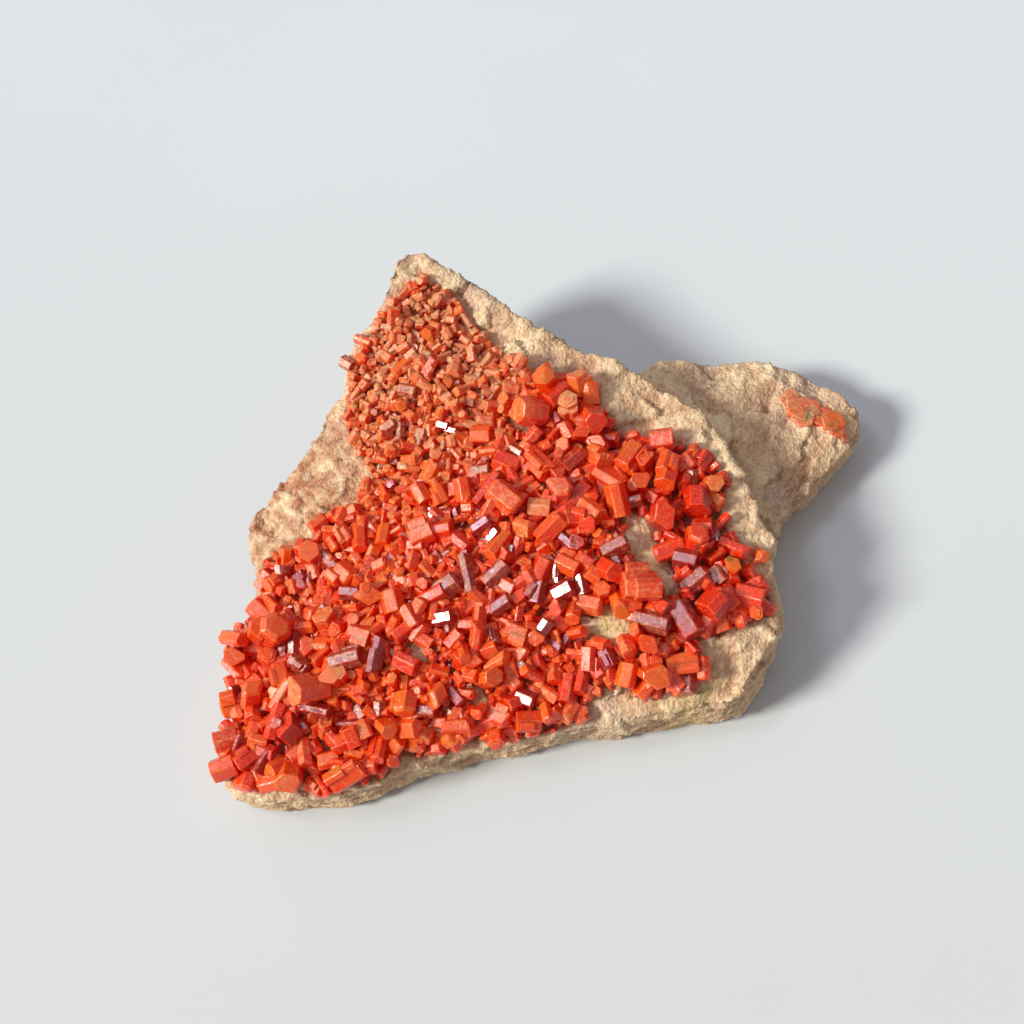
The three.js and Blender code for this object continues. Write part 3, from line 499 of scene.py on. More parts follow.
def rock_material(settings):
    material, tree, shader = new_material("Sandy matrix rock")
    place = tree.place()
    sand = tree.use(sand_group(), {"Grain": 1 / (settings.grain_size * MM)})
    body = tree.mix(tree.ramp(tree.noise(place, 7), 0.35, 0.65), settings.tan, settings.cream)
    pinkish = tree.noise(place, 3.2, detail=5, roughness=0.65)
    body = tree.mix(tree.ramp(pinkish, 0.5, 0.68, 0, 0.75), body, settings.brown)
    body = tree.mix(tree.ramp(tree.noise(place, 9, detail=4), 0.5, 0.66, 0, 0.6), body, settings.mauve)
    # Paler on the highest chips and browner in the lowest hollows.
    body = tree.mix(tree.ramp(tree.mark("proud"), 0.55, 0.95, 0, 0.7), body, settings.pale_edge)
    body = tree.mix(tree.ramp(tree.mark("proud"), 0.4, 0.05, 0, 0.55), body, settings.brown)
    stain = tree.math("MULTIPLY", tree.mark("rust"), tree.ramp(tree.noise(place, 1.8, detail=5), 0.35, 0.62))
    body = tree.mix(stain, body, settings.rust)
    ochre = tree.math("MULTIPLY", tree.mark("ochre"), tree.ramp(tree.noise(place, 1.4, detail=4), 0.35, 0.6))
    body = tree.mix(ochre, body, settings.ochre)
    layers = tree.math("MULTIPLY", tree.mark("layers"), 0.35)
    body = tree.mix(layers, body, settings.brown)
    speckle = tree.colours(tree.ramp(sand["Tint"], 0.2, 0.8), SAND_TONES)
    body = tree.mix(0.6, body, speckle, "OVERLAY")
    # Painted shade: the rock within the crust is painted dark red, standing in for the shade and red bounced light
    # between the crystals.
    crust = tree.math("ADD", tree.mark("crust"), tree.ramp(tree.noise(place, 1.2, detail=4), 0.3, 0.7, -0.28, 0.28))
    body = tree.mix(tree.ramp(crust, 0.3, 0.75, 0, 0.9), body, settings.painted_crust_shade)
    tree.put(shader["Base Color"], body)
    tree.put(shader["Roughness"], tree.ramp(sand["Tint"], 0.2, 0.8, 0.95, 0.75))
    shader["Specular IOR Level"].default_value = 0.3
    coarse = tree.noise(place, 1.5, detail=5, roughness=0.7)
    normal = tree.bump(coarse, 0.7, 0.5)
    tree.put(shader["Normal"], tree.bump(sand["Height"], 0.8, 0.17, normal))
    return material


def crystal_material(name, settings, warmth):
    """Translucent crystal, with painted light and shade: faces turned from the lamp are painted deeper red and given
    a painted red glow, and the sugary specks are painted brightest towards the lamp. warmth moves every tone of the
    crystals that have it towards amber.
    """
    material, tree, shader = new_material(name)
    place = tree.place()
    along = tree.mark("along")
    growth = tree.use(growth_group(), {"Along": along})
    cover = tree.use(dust_group(), {"Amount": tree.mark("dust")})["Cover"]
    tone = tree.math("MULTIPLY_ADD", tree.mark("tone"), 0.25, 0.25 + warmth)
    tone = tree.math("ADD", tone, tree.ramp(growth["Flaws"], 0, 1, -0.08, 0.14))
    tone = tree.math("ADD", tone, tree.ramp(along, 0.2, 1.0, -0.05, 0.05))
    # Painted shade and light: faces turned away from the lamp are painted deeper red, and faces towards it a little
    # paler.
    tone = tree.math("ADD", tone, tree.ramp(lamp_lit_and_dusted_side(tree), 0.0, 0.95, -0.34, 0.08))
    shades = (settings.garnet, settings.deep_red, settings.red, settings.orange, settings.amber)
    clear = tree.colours(tone, [(0.25 * step, shade) for step, shade in enumerate(shades)])
    # The sugary specks are the growth's own paler colour, painted brighter on faces towards the lamp as a painted
    # highlight.
    lit = tree.ramp(lamp_lit_and_dusted_side(tree), 0.0, 1.0, 0.1, 0.75)
    clean = tree.ramp(tree.mark("tone"), -1, 0, 0.15, 1.0)
    sugar_and_highlight_specks = tree.math("MULTIPLY", tree.math("MULTIPLY", growth["Sugar"], lit), clean)
    clear = tree.mix(sugar_and_highlight_specks, clear, settings.sugar)
    grains = tree.use(sand_group(), {"Grain": 3200.0})
    sandy = tree.mix(tree.ramp(grains["Tint"], 0.25, 0.75), settings.dust_dark, settings.dust_light)
    tree.put(shader["Base Color"], tree.mix(cover, clear, sandy))
    gloss = tree.ramp(tree.noise(place, 0.5, detail=3), 0.35, 0.75, settings.polish, settings.polish + 0.2)
    tree.put(shader["Roughness"], tree.mix_value(cover, gloss, 0.6))
    shader["IOR"].default_value = settings.ior
    shader["Subsurface Weight"].default_value = settings.glow
    shader["Subsurface Radius"].default_value = settings.glow_colour
    shader["Subsurface Scale"].default_value = settings.glow_depth * MM
    shader["Transmission Weight"].default_value = settings.clearness
    # Painted glow: faces turned away from the lamp, where no dust lies, send out red light of their own, standing in
    # for light carried through the crystal.
    painted_shade_glow = tree.ramp(lamp_lit_and_dusted_side(tree), 0.8, -0.1, 0.0, 1.0)
    painted_shade_glow = tree.math("MULTIPLY", painted_shade_glow, tree.math("SUBTRACT", 1.0, cover))
    tree.put(shader["Emission Color"], tree.mix(painted_shade_glow, (0, 0, 0), settings.painted_inner_glow))
    shader["Emission Strength"].default_value = 1.0
    material.cycles.emission_sampling = "NONE"
    normal = tree.bump(tree.math("MULTIPLY", growth["Height"], clean), 0.6, 0.045)
    dusty = tree.math("MULTIPLY", grains["Height"], cover)
    tree.put(shader["Normal"], tree.bump(dusty, 0.6, 0.06, normal))
    return material


def table_material(settings):
    material, tree, shader = new_material("Pale table top")
    place = tree.place()
    clouds = tree.ramp(tree.noise(place, 90, detail=3), 0.35, 0.65)
    fine = tree.noise(place, 6, detail=4)
    # Painted light: the table top is painted darker near the viewer and lighter and bluer beyond the specimen.
    across = tree.add("ShaderNodeSeparateXYZ", {"Vector": place}).outputs["Y"]
    body = tree.mix(tree.ramp(across, -0.08, 0.08), settings.painted_dim_table_near, settings.painted_bright_table_far)
    body = tree.mix(tree.ramp(clouds, 0, 1, 0, 0.02), body, (0, 0, 0))
    tree.put(shader["Base Color"], body)
    tree.put(shader["Roughness"], tree.ramp(fine, 0.3, 0.7, 0.45, 0.55))
    shader["Specular IOR Level"].default_value = 0.25
    return material


# ---- Rock ----
def remeshed(mesh, size):
    """The same shape in even squares of the given size, in millimetres."""
    source = bpy.data.objects.new("remesh_source", mesh)
    bpy.context.scene.collection.objects.link(source)
    modifier = source.modifiers.new("Even squares", "REMESH")
    modifier.mode = "VOXEL"
    modifier.voxel_size = size * MM
    graph = bpy.context.evaluated_depsgraph_get()
    result = bpy.data.meshes.new_from_object(source.evaluated_get(graph))
    bpy.data.objects.remove(source)
    return result


# The rock's relief, from broad swells to pits: how many waves or cells go in a millimetre, and how high they are
# in millimetres. Chips and flakes are tilted cells, each with its steepness, its lift and the key to its tilt.
SWELL_RATE, SWELL_HEIGHT = 0.11, 0.45
BEND_RATE, BEND_REACH = 0.35, 0.8
BEND_OFFSETS = [Vector((9.3, -1.5, -7.9)), Vector((0, 0, 0)), Vector((-6.1, 9.4, 3.2))]
CHIPS = {"rate": 0.2, "key": 17.3, "steepness": 3.2, "lift": Vector((0.9, 0, 0))}
FLAKES = {"rate": 0.62, "key": 11.9, "steepness": 2.6, "lift": Vector((0, 1, 0))}
FLAKE_SHARE = 0.4
GRAIN_RATE, FINE_GRAIN_RATE, FINE_GRAIN_SHARE = 1.3, 2.4, 0.7
PIT_RATE, PIT_DEPTH, PIT_LEVEL = 0.42, 1.1, 0.33
LAYER_BEND_RATE, LAYER_BEND = 0.14, 1.3
LAYER_RIPPLE_RATE, LAYER_RIPPLE = 0.5, 0.35


def tilted_cells(spot, rate, key, steepness, lift):
    """Height of a surface broken into cells, each of which slopes its own way."""
    site = noise.voronoi(spot * rate)[1][0]
    tilt = noise.cell_vector(site * key) - Vector((0.5, 0.5, 0.5))
    return (spot * rate - site).dot(tilt) * steepness + tilt.dot(lift)


def broken_surface(spot, normal, settings):
    """How far the rock stands out at a spot, as (height in millimetres, chip height, layer shade)."""
    broad = SWELL_HEIGHT * noise.fractal(spot * SWELL_RATE, 1.0, 2.0, 3)
    bent = spot + BEND_REACH * Vector([noise.noise(spot * BEND_RATE + offset) for offset in BEND_OFFSETS])
    chip = settings.chip_height * tilted_cells(bent, **CHIPS)
    flake = FLAKE_SHARE * settings.chip_height * tilted_cells(bent, **FLAKES)
    fine = FINE_GRAIN_SHARE * noise.noise(spot * FINE_GRAIN_RATE)
    grain = settings.grain_height * (noise.noise(spot * GRAIN_RATE) + fine)
    pit = -PIT_DEPTH * max(0.0, noise.noise(spot * PIT_RATE) - PIT_LEVEL)
    wall = max(0.0, 1 - abs(normal.z) * 1.5)
    wander = LAYER_BEND * noise.noise(spot * LAYER_BEND_RATE) + LAYER_RIPPLE * noise.noise(spot * LAYER_RIPPLE_RATE)
    layer = math.sin((spot.z + wander) * math.tau / settings.layer_height)
    height = broad + chip + flake + grain + pit + settings.layer_relief * wall * layer
    return height, chip + flake + 0.6 * grain, wall * max(0.0, -layer)


MERGE_DISTANCE = 0.01


def rock_mesh(settings):
    """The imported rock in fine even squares, broken and grained, with marks for its finish on every point."""
    source = bmesh.new()
    source.from_mesh(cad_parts["matrix"].data)
    bmesh.ops.remove_doubles(source, verts=source.verts, dist=MERGE_DISTANCE * MM)
    merged = bpy.data.meshes.new("rock_source")
    source.to_mesh(merged)
    source.free()
    mesh = remeshed(merged, settings.mesh_size)
    mesh.name = "rock"
    count = len(mesh.vertices)
    points = np.empty(count * 3, np.float32)
    normals = np.empty(count * 3, np.float32)
    mesh.vertices.foreach_get("co", points)
    mesh.vertices.foreach_get("normal", normals)
    points = points.reshape(-1, 3) / MM
    normals = normals.reshape(-1, 3)
    origin = shift()
    spots = points - np.array(origin)
    found = [broken_surface(Vector(spot), Vector(normal), settings) for spot, normal in zip(spots, normals)]
    height, proud, layers = np.array(found).T
    standing = smooth_step(points[:, 2], 0.1, 1.4)
    moved = points + normals * (height * standing)[:, None]
    moved[:, 2] = np.maximum(moved[:, 2], 0)
    mesh.vertices.foreach_set("co", (moved * MM).astype(np.float32).ravel())
    mesh.polygons.foreach_set("use_smooth", np.ones(len(mesh.polygons), bool))
    mesh.update()
    top = smooth_step(normals[:, 2], 0.0, 0.4)
    # The crust mark is where the rock gets its painted dark red shade between the crystals.
    put_values(mesh, "crust", top * smooth_step(crust_depth(spots[:, :2]), -1.2, 0.8))
    put_values(mesh, "proud", np.clip(0.5 + 0.9 * proud, 0, 1))
    put_values(mesh, "layers", layers)
    for name, stains in (("rust", RUST_STAINS), ("ochre", OCHRE_STAINS)):
        total = np.zeros(count)
        for x, y, radius, strength in stains:
            gap = np.hypot(spots[:, 0] - x, spots[:, 1] - y)
            total += strength * np.exp(-((gap / radius) ** 2))
        put_values(mesh, name, np.clip(total, 0, 1))
    return mesh


STEPS_INWARD = (1, 0.985, 0.97, 0.955, 0.94, 0.92, 0.9, 0.87, 0.84)
MIDDLE_Y = -8
ABOVE_ALL = 60


class RockTop:
    """Finds how high the finished rock is under a point."""

    def __init__(self):
        piece = bpy.data.objects.get("rock")
        if piece is None:
            raise RuntimeError("add the rock first: the crystals stand on it")
        mesh = piece.data
        polygons = [polygon.vertices for polygon in mesh.polygons]
        self.tree = BVHTree.FromPolygons([vertex.co for vertex in mesh.vertices], polygons)
        self.origin = shift()

    def height(self, x, y):
        """The rock's height, or at a place past the rim, the height of the nearest rock towards the middle."""
        for share in STEPS_INWARD:
            spot = Vector((share * x, MIDDLE_Y + share * (y - MIDDLE_Y), ABOVE_ALL)) + self.origin
            hit = self.tree.ray_cast(spot * MM, Vector((0, 0, -1)))[0]
            if hit is not None:
                return hit.z / MM
        raise RuntimeError(f"no rock under the crystal at {x:g}, {y:g}")

    def facing(self, x, y, reach=1.5):
        """The direction square to the rock's general slope at a place."""
        rise_x = self.height(x + reach, y) - self.height(x - reach, y)
        rise_y = self.height(x, y + reach) - self.height(x, y - reach)
        return Vector((-rise_x, -rise_y, 2 * reach)).normalized()


# ---- Crystals ----
# How much paler than its sides a crystal's ends are, as steps of tone, how much paler its cut edges are painted as a
# highlight, and how its sides differ.
END_SHADE = 0.35
EDGE_HIGHLIGHT = 0.9
SIDE_SHADE = 0.35


def hexagon(sizes):
    """Corners of a hexagon whose sides keep their directions but lie at different distances from its middle."""
    corners = []
    for k in range(HEXAGON_SIDES):
        here, ahead = sizes[k], sizes[(k + 1) % HEXAGON_SIDES]
        out = Vector((math.cos(k * SIXTH), math.sin(k * SIXTH)))
        side = Vector((-out.y, out.x))
        corners.append(out * here + side * (ahead - here * math.cos(SIXTH)) / math.sin(SIXTH))
    return corners


def cut_corner(shape, spot, direction):
    """Breaks off what lies beyond a plane, and closes the break."""
    geometry = shape.verts[:] + shape.edges[:] + shape.faces[:]
    cut = bmesh.ops.bisect_plane(shape, geom=geometry, plane_co=spot, plane_no=direction, clear_outer=True)
    rim = [item for item in cut["geom_cut"] if isinstance(item, bmesh.types.BMEdge)]
    if rim:
        bmesh.ops.holes_fill(shape, edges=rim, sides=0)


def bevelled(shape, edges, width):
    """Cuts each edge off flat, and gives the new faces."""
    cut = bmesh.ops.bevel(
        shape, geom=edges, offset=width, offset_type="OFFSET", affect="EDGES", segments=1, profile=0.5, material=-1
    )
    return cut["faces"]


def crystal_shape(width, length, chance, form, bevel=0.035, evenness=0.76, stretch=1.0):
    """One crystal along Z about the origin, as (points, faces, shades). A side faces +X, and stretch moves that
    side and its opposite out. form is plain, capped, hollow, stepped, barrel, chipped or crumb."""
    shape = bmesh.new()
    bmesh.ops.create_cone(
        shape, cap_ends=True, cap_tris=False, segments=HEXAGON_SIDES, radius1=0.5, radius2=0.5, depth=length
    )
    sizes = [0.5 * width * chance.uniform(evenness, 1.0) for _ in range(HEXAGON_SIDES)]
    for side in (0, HEXAGON_SIDES // 2):
        sizes[side] *= stretch
    corners = hexagon(sizes)
    slope = Vector((chance.uniform(-0.05, 0.05), chance.uniform(-0.05, 0.05)))
    for end in (-1, 1):
        ring = [vertex for vertex in shape.verts if vertex.co.z * end > 0]
        ring.sort(key=lambda vertex: (math.atan2(vertex.co.y, vertex.co.x) + 0.1) % math.tau)
        for vertex, corner in zip(ring, corners):
            vertex.co.xy = corner
            if end > 0:
                vertex.co.z += slope.dot(corner)
    shape.normal_update()
    shade = shape.faces.layers.float.new("shade")
    ends = [face for face in shape.faces if abs(face.normal.z) > 0.9]
    for face in shape.faces:
        face[shade] = END_SHADE if face in ends else chance.uniform(-SIDE_SHADE, SIDE_SHADE)
    if form == "crumb":
        return shape_arrays(shape)
    if form == "capped":
        bevelled(shape, [edge for face in ends for edge in face.edges], 0.13 * width)
    if form == "barrel":
        upright = [edge for edge in shape.edges if abs((edge.verts[0].co - edge.verts[1].co).z) > 0.5 * length]
        bmesh.ops.subdivide_edges(shape, edges=upright, cuts=2, use_grid_fill=True)
        for vertex in shape.verts:
            vertex.co.xy *= 1.0 if abs(vertex.co.z) < 0.3 * length else 0.82
    if form == "chipped":
        direction = Vector((chance.uniform(-1, 1), chance.uniform(-1, 1), chance.uniform(0.5, 1.6))).normalized()
        reach = max(vertex.co.dot(direction) for vertex in shape.verts)
        cut_corner(shape, direction * reach * chance.uniform(0.7, 0.85), direction)
    edges = [edge for edge in shape.edges if edge.is_manifold and edge.calc_face_angle(0) > 0.3]
    rounded = bevelled(shape, edges, bevel * width)
    # Painted highlight: the cut edges are painted paler than the faces.
    for face in rounded:
        face[shade] = EDGE_HIGHLIGHT
    if form in ("hollow", "stepped"):
        shape.normal_update()
        level = [face for face in shape.faces if face.normal.z > 0.9]
        top = max(level, key=lambda face: face.calc_center_median().z * face.calc_area())
        depth = -0.08 * width if form == "hollow" else 0.07 * width
        bmesh.ops.inset_region(shape, faces=[top], thickness=0.12 * width, use_even_offset=True)
        bmesh.ops.inset_region(shape, faces=[top], thickness=0.03 * width, depth=depth, use_even_offset=True)
    return shape_arrays(shape)


def shape_arrays(shape):
    bmesh.ops.recalc_face_normals(shape, faces=shape.faces)
    shape.verts.index_update()
    shade = shape.faces.layers.float["shade"]
    points = np.array([vertex.co for vertex in shape.verts])
    faces = [[vertex.index for vertex in face.verts] for face in shape.faces]
    shades = np.array([face[shade] for face in shape.faces])
    shape.free()
    return points, faces, shades


class Growth:
    """Gathers many crystals into one mesh, with each one's tone and dust kept on its points."""

    def __init__(self):
        self.points = []
        self.faces = []
        self.marks = {"tone": [], "dust": []}
        self.along = []
        self.count = 0

    def add(self, shape, size, turn, middle, tone, dust):
        points, faces, shades = shape
        heights = points[:, 2]
        low, high = heights.min(), heights.max()
        placed = (points * size) @ np.array(turn.to_matrix()).T + np.array(middle)
        self.points.append(placed)
        self.faces.extend([[index + self.count for index in face] for face in faces])
        self.marks["tone"].append(tone + shades)
        self.marks["dust"].append(np.full(len(faces), dust))
        self.along.append((heights - low) / (high - low))
        self.count += len(points)

    def mesh(self, name):
        points = (np.concatenate(self.points) + np.array(shift())) * MM
        mesh = bpy.data.meshes.new(name)
        mesh.from_pydata(points.tolist(), [], self.faces)
        for key, values in self.marks.items():
            put_values(mesh, key, np.concatenate(values), "FACE")
        put_values(mesh, "along", np.concatenate(self.along))
        mesh.update()
        return mesh


def direction_of(heading, lean):
    heading, lean = math.radians(heading), math.radians(lean)
    return Vector((math.sin(lean) * math.cos(heading), math.sin(lean) * math.sin(heading), math.cos(lean)))


def crystal_turn(axis, spin):
    """Turns a crystal from +Z to its axis, spun about it."""
    return axis.to_track_quat("Z", "Y") @ Quaternion((0, 0, 1), spin)


# How near a crystal's axis has to be to a direction for its end to face that way, in place of a side.
END_ON = 20


def facing_turn(axis, mirror):
    """The nearest turn that puts one face of the crystal square to the mirror direction, and its axis."""
    if abs(axis.dot(mirror)) > math.cos(math.radians(END_ON)):
        axis = mirror.copy()
        return crystal_turn(axis, 0), axis
    axis = (axis - mirror * axis.dot(mirror)).normalized()
    turn = axis.to_track_quat("Z", "Y")
    local = turn.inverted() @ mirror
    return turn @ Quaternion((0, 0, 1), math.atan2(local.y, local.x)), axis


def mirror_direction(settings, light="lamp"):
    """The face direction that mirrors the lamp, or the high window beside it, to the viewer."""
    return Vector(settings.lamp_mirror if light == "lamp" else settings.window_mirror).normalized()


def standing_turn(axis, across):
    """Turns an upright crystal to its axis, with its longer way across along a level direction."""
    turn = axis.to_track_quat("Z", "Y")
    local = turn.inverted() @ across
    return turn @ Quaternion((0, 0, 1), math.atan2(local.y, local.x))


def rise_over_rock(width, length, axis):
    """How far a leaning crystal's middle stands over its rooted side."""
    level = math.sqrt(max(0.0, 1 - axis.z * axis.z))
    return 0.5 * length * abs(axis.z) + 0.5 * width * level


MOST_STRETCH = 1.5
BARREL_WIDTH = 4
LARGE_FORMS = ["plain", "plain", "stepped", "hollow", "capped", "chipped", "chipped"]
LARGE_DUST = (0, 0, 0.1, 0.25)
TWIN_COUNTS = (0, 0, 0, 1, 1, 2)


def large_crystals_mesh(settings):
    """The crystals of the list, some of them with smaller ones grown against their sides."""
    chance = random.Random(settings.seed)
    rock = RockTop()
    growth = Growth()
    for x, y, width, length, heading, lean, kind in LARGE_CRYSTALS:
        axis = direction_of(heading, lean)
        turn = crystal_turn(axis, chance.uniform(0, math.tau))
        if kind[-1] not in MIRROR_CODES:
            turn, axis = facing_turn(axis, direction_of(chance.uniform(0, 360), chance.uniform(5, 45)))
        elif kind.endswith("+"):
            turn, axis = facing_turn(axis, mirror_direction(settings))
        elif kind.endswith("-"):
            turn, axis = facing_turn(axis, mirror_direction(settings, "window"))
        dust = 0.5 if kind[0] == "T" else chance.choice(LARGE_DUST)
        tone = (CLEAR_TONE if kind[-1] in MIRROR_CODES else TONES[kind[0]]) + chance.uniform(-0.35, 0.35)
        form = "barrel" if width > BARREL_WIDTH else chance.choice(LARGE_FORMS)
        stretch = 1.0
        leaning = lean > 50 and len(kind) == 1 and chance.random() < settings.standing_share
        if leaning or kind.endswith("^"):
            stretch = min(length / width, MOST_STRETCH)
            length = width * chance.uniform(0.9, 1.4)
            axis = direction_of(chance.uniform(0, 360), chance.uniform(5, 35))
            turn = standing_turn(axis, direction_of(heading, 90))
        middle = Vector((x, y, rock.height(x, y) + settings.root + rise_over_rock(width, length, axis)))
        growth.add(crystal_shape(width, length, chance, form, stretch=stretch), 1, turn, middle, tone, dust)
        for _ in range(chance.choice(TWIN_COUNTS)):
            spin = Quaternion((0, 0, 1), chance.randrange(HEXAGON_SIDES) * SIXTH)
            side = turn @ spin @ Vector((0.42 * width, 0, 0))
            share = chance.uniform(0.45, 0.75)
            slide = axis * length * chance.uniform(-0.3, 0.2)
            small = crystal_shape(width * share, length * chance.uniform(0.45, 0.8), chance, "plain")
            growth.add(small, 1, turn, middle + side + slide, tone + chance.uniform(-0.2, 0.5), dust)
    return growth.mesh("large_crystals")


ZONE_BLUR = 2


def crust_zone(x, y):
    """Width, tone, dust and fill of the crust at a place, blended from the zones around it."""
    zones = np.array(CRUST_ZONES)
    weight = 1 / ((zones[:, 0] - x) ** 2 + (zones[:, 1] - y) ** 2 + ZONE_BLUR**2) ** 1.5
    return (zones[:, 2:] * weight[:, None]).sum(0) / weight.sum()


def scattered_places(count, spacing, chance, taken, margin=0.0):
    """Places on the crust at least a share of the local crystal width apart, as rows of x, y, width, tone, dust."""
    corners = np.array(CRUST_OUTLINE)
    low, high = corners.min(0), corners.max(0)
    tries = chance.uniform(low, high, (count, 2))
    tries = tries[crust_depth(tries) > margin]
    kept = np.empty((0, 2))
    rows = []
    for x, y in tries:
        width, tone, dust, fill = crust_zone(x, y)
        if chance.random() > fill:
            continue
        gap = spacing * width / fill**0.5
        if len(kept) and np.min(np.hypot(kept[:, 0] - x, kept[:, 1] - y)) < gap:
            continue
        if any_closer(x, y, taken):
            continue
        kept = np.vstack((kept, (x, y)))
        rows.append((x, y, width, tone, dust))
    return rows


def any_closer(x, y, taken):
    """Whether a place lies in the footprint of a crystal that is already there."""
    if len(taken) == 0:
        return False
    dx, dy = x - taken[:, 0], y - taken[:, 1]
    along = dx * taken[:, 2] + dy * taken[:, 3]
    across = -dx * taken[:, 3] + dy * taken[:, 2]
    return bool(np.any((np.abs(along) < taken[:, 4]) & (np.abs(across) < taken[:, 5])))


def large_footprints(share):
    """Half-length and half-width that each large crystal covers, with its heading."""
    rows = []
    for x, y, width, length, heading, lean, _ in LARGE_CRYSTALS:
        turn, tip = math.radians(heading), math.radians(lean)
        reach = 0.5 * length * math.sin(tip) + 0.4 * width * math.cos(tip)
        rows.append((x, y, math.cos(turn), math.sin(turn), share * reach, share * 0.45 * width))
    return np.array(rows)


SMALL_FORMS = [("plain", 1.0), ("plain", 1.3), ("chipped", 1.2), ("plain", 1.7), ("capped", 1.1), ("stepped", 1.0),
               ("hollow", 1.1), ("plain", 0.8), ("chipped", 1.5)]
CRUMB_FORMS = [("crumb", 0.8), ("crumb", 1.2), ("crumb", 1.8)]
CRUMB_SIZE = 0.5
SMALL_STRETCHES = (1.0, 1.15, 1.3)
SMALL_BEVEL = 0.04
SMALL_EVENNESS = 0.65


def small_crystals_mesh(settings, name, count, spacing, size, sink, taken_share, seed):
    """One layer of the smaller crystals, which copy a few shapes in many sizes, turns, tones and dustiness."""
    chance = np.random.default_rng(seed)
    dice = random.Random(seed)
    rock = RockTop()
    forms = CRUMB_FORMS if size < CRUMB_SIZE else SMALL_FORMS
    shapes = [
        crystal_shape(1.0, aspect, dice, form, SMALL_BEVEL, SMALL_EVENNESS, stretch)
        for form, aspect in forms for stretch in SMALL_STRETCHES
    ]
    growth = Growth()
    lamp = mirror_direction(settings)
    window = mirror_direction(settings, "window")
    for x, y, width, tone, dust in scattered_places(count, spacing, chance, large_footprints(taken_share)):
        shape = dice.choice(shapes)
        scale = width * size * dice.uniform(0.75, 1.25)
        axis = direction_of(dice.uniform(0, 360), dice.uniform(5, 88))
        draw = dice.random()
        tone += dice.gauss(0, 0.45)
        if draw < settings.lamp_share:
            turn, axis = facing_turn(axis, (lamp + Vector(chance.normal(0, 0.02, 3))).normalized())
        elif draw < settings.lamp_share + settings.window_share:
            turn, axis = facing_turn(axis, (window + Vector(chance.normal(0, 0.05, 3))).normalized())
            tone = CLEAR_TONE
        else:
            turn, axis = facing_turn(axis, direction_of(dice.uniform(0, 360), dice.uniform(0, 50)))
        length = scale * float(np.ptp(shape[0][:, 2]))
        height = rock.height(x, y) + rise_over_rock(scale, length, axis) - sink * dice.uniform(0, 1)
        growth.add(shape, scale, turn, Vector((x, y, height)), tone, dust * dice.uniform(0.5, 1.4))
    return growth.mesh(name)


# How far the ledge crystals stand out of the rock, and how far each one leans from the rock's own slope.
LEDGE_RISE = 0.25
LEDGE_LEAN = 0.2


def ledge_crystals_mesh(settings):
    """Crystals grown together in one flat patch, nearly flush with the low ledge."""
    chance = random.Random(settings.seed + 5)
    rock = RockTop()
    growth = Growth()
    for x, y, width, length, heading, lean, form, tone, dust in LEDGE_CRYSTALS:
        axis = (rock.facing(x, y) + LEDGE_LEAN * direction_of(heading, lean)).normalized()
        turn = crystal_turn(axis, chance.uniform(0, SIXTH))
        place = Vector((x, y, rock.height(x, y))) + (LEDGE_RISE - 0.5 * length) * axis
        growth.add(crystal_shape(width, length, chance, form), 1, turn, place, tone, dust)
    return growth.mesh("ledge_crystal_pair")


RIM_SPIN = 0.4
RIM_TONE = 2.2
RIM_DUST = 0.15


def rim_crystal_mesh(settings):
    """The single small amber crystal on the right-hand rim, with a crumb beside it."""
    chance = random.Random(settings.seed + 9)
    rock = RockTop()
    growth = Growth()
    for x, y, width, length, heading, lean in RIM_CRYSTALS:
        axis = direction_of(heading, lean)
        height = rock.height(x, y) + rise_over_rock(width, length, axis)
        shape = crystal_shape(width, length, chance, "plain")
        growth.add(shape, 1, crystal_turn(axis, RIM_SPIN), Vector((x, y, height)), RIM_TONE, RIM_DUST)
    return growth.mesh("rim_crystal_amber")


# ---- Stage ----
def add_table(settings):
    grid = bmesh.new()
    bmesh.ops.create_grid(grid, x_segments=8, y_segments=8, size=0.5 * settings.table_size * MM)
    mesh = bpy.data.meshes.new("table_top")
    grid.to_mesh(mesh)
    grid.free()
    piece = add_object("table_top", mesh, table_material(settings))


def add_far_light(name, settings, source):
    """Adds a light so far off that its rays run side by side, from the settings whose names start with source."""
    lamp = bpy.data.lights.new(name, "SUN")
    lamp.energy = getattr(settings, source + "_strength")
    lamp.color = getattr(settings, source + "_colour")
    lamp.angle = math.radians(getattr(settings, source + "_spread"))
    piece = bpy.data.objects.new(name, lamp)
    bpy.context.scene.collection.objects.link(piece)
    travel = Vector(getattr(settings, source + "_direction"))
    piece.rotation_euler = travel.to_track_quat("-Z", "Y").to_euler()


def add_lights(settings):
    scene = bpy.context.scene
    add_far_light("low_sun", settings, "lamp")
    add_far_light("high_window", settings, "window")
    world = bpy.data.worlds.new("soft_studio")
    world.use_nodes = True
    tree = Tree(world.node_tree)
    backdrop = world.node_tree.nodes["Background"].inputs
    view = tree.add("ShaderNodeTexCoord").outputs["Generated"]
    around = tree.mix(tree.ramp(tree.towards(view, settings.warm_side), -1, 1), settings.cool_sky, settings.warm_sky)
    over = tree.ramp(tree.towards(view, settings.ceiling_side), 0.8, 0.97)
    tree.put(backdrop["Color"], tree.mix(over, around, settings.ceiling))
    backdrop["Strength"].default_value = settings.sky_strength
    scene.world = world
    scene.view_settings.view_transform = "Standard"


SENSOR_WIDTH = 36
NEAREST_SEEN = 1


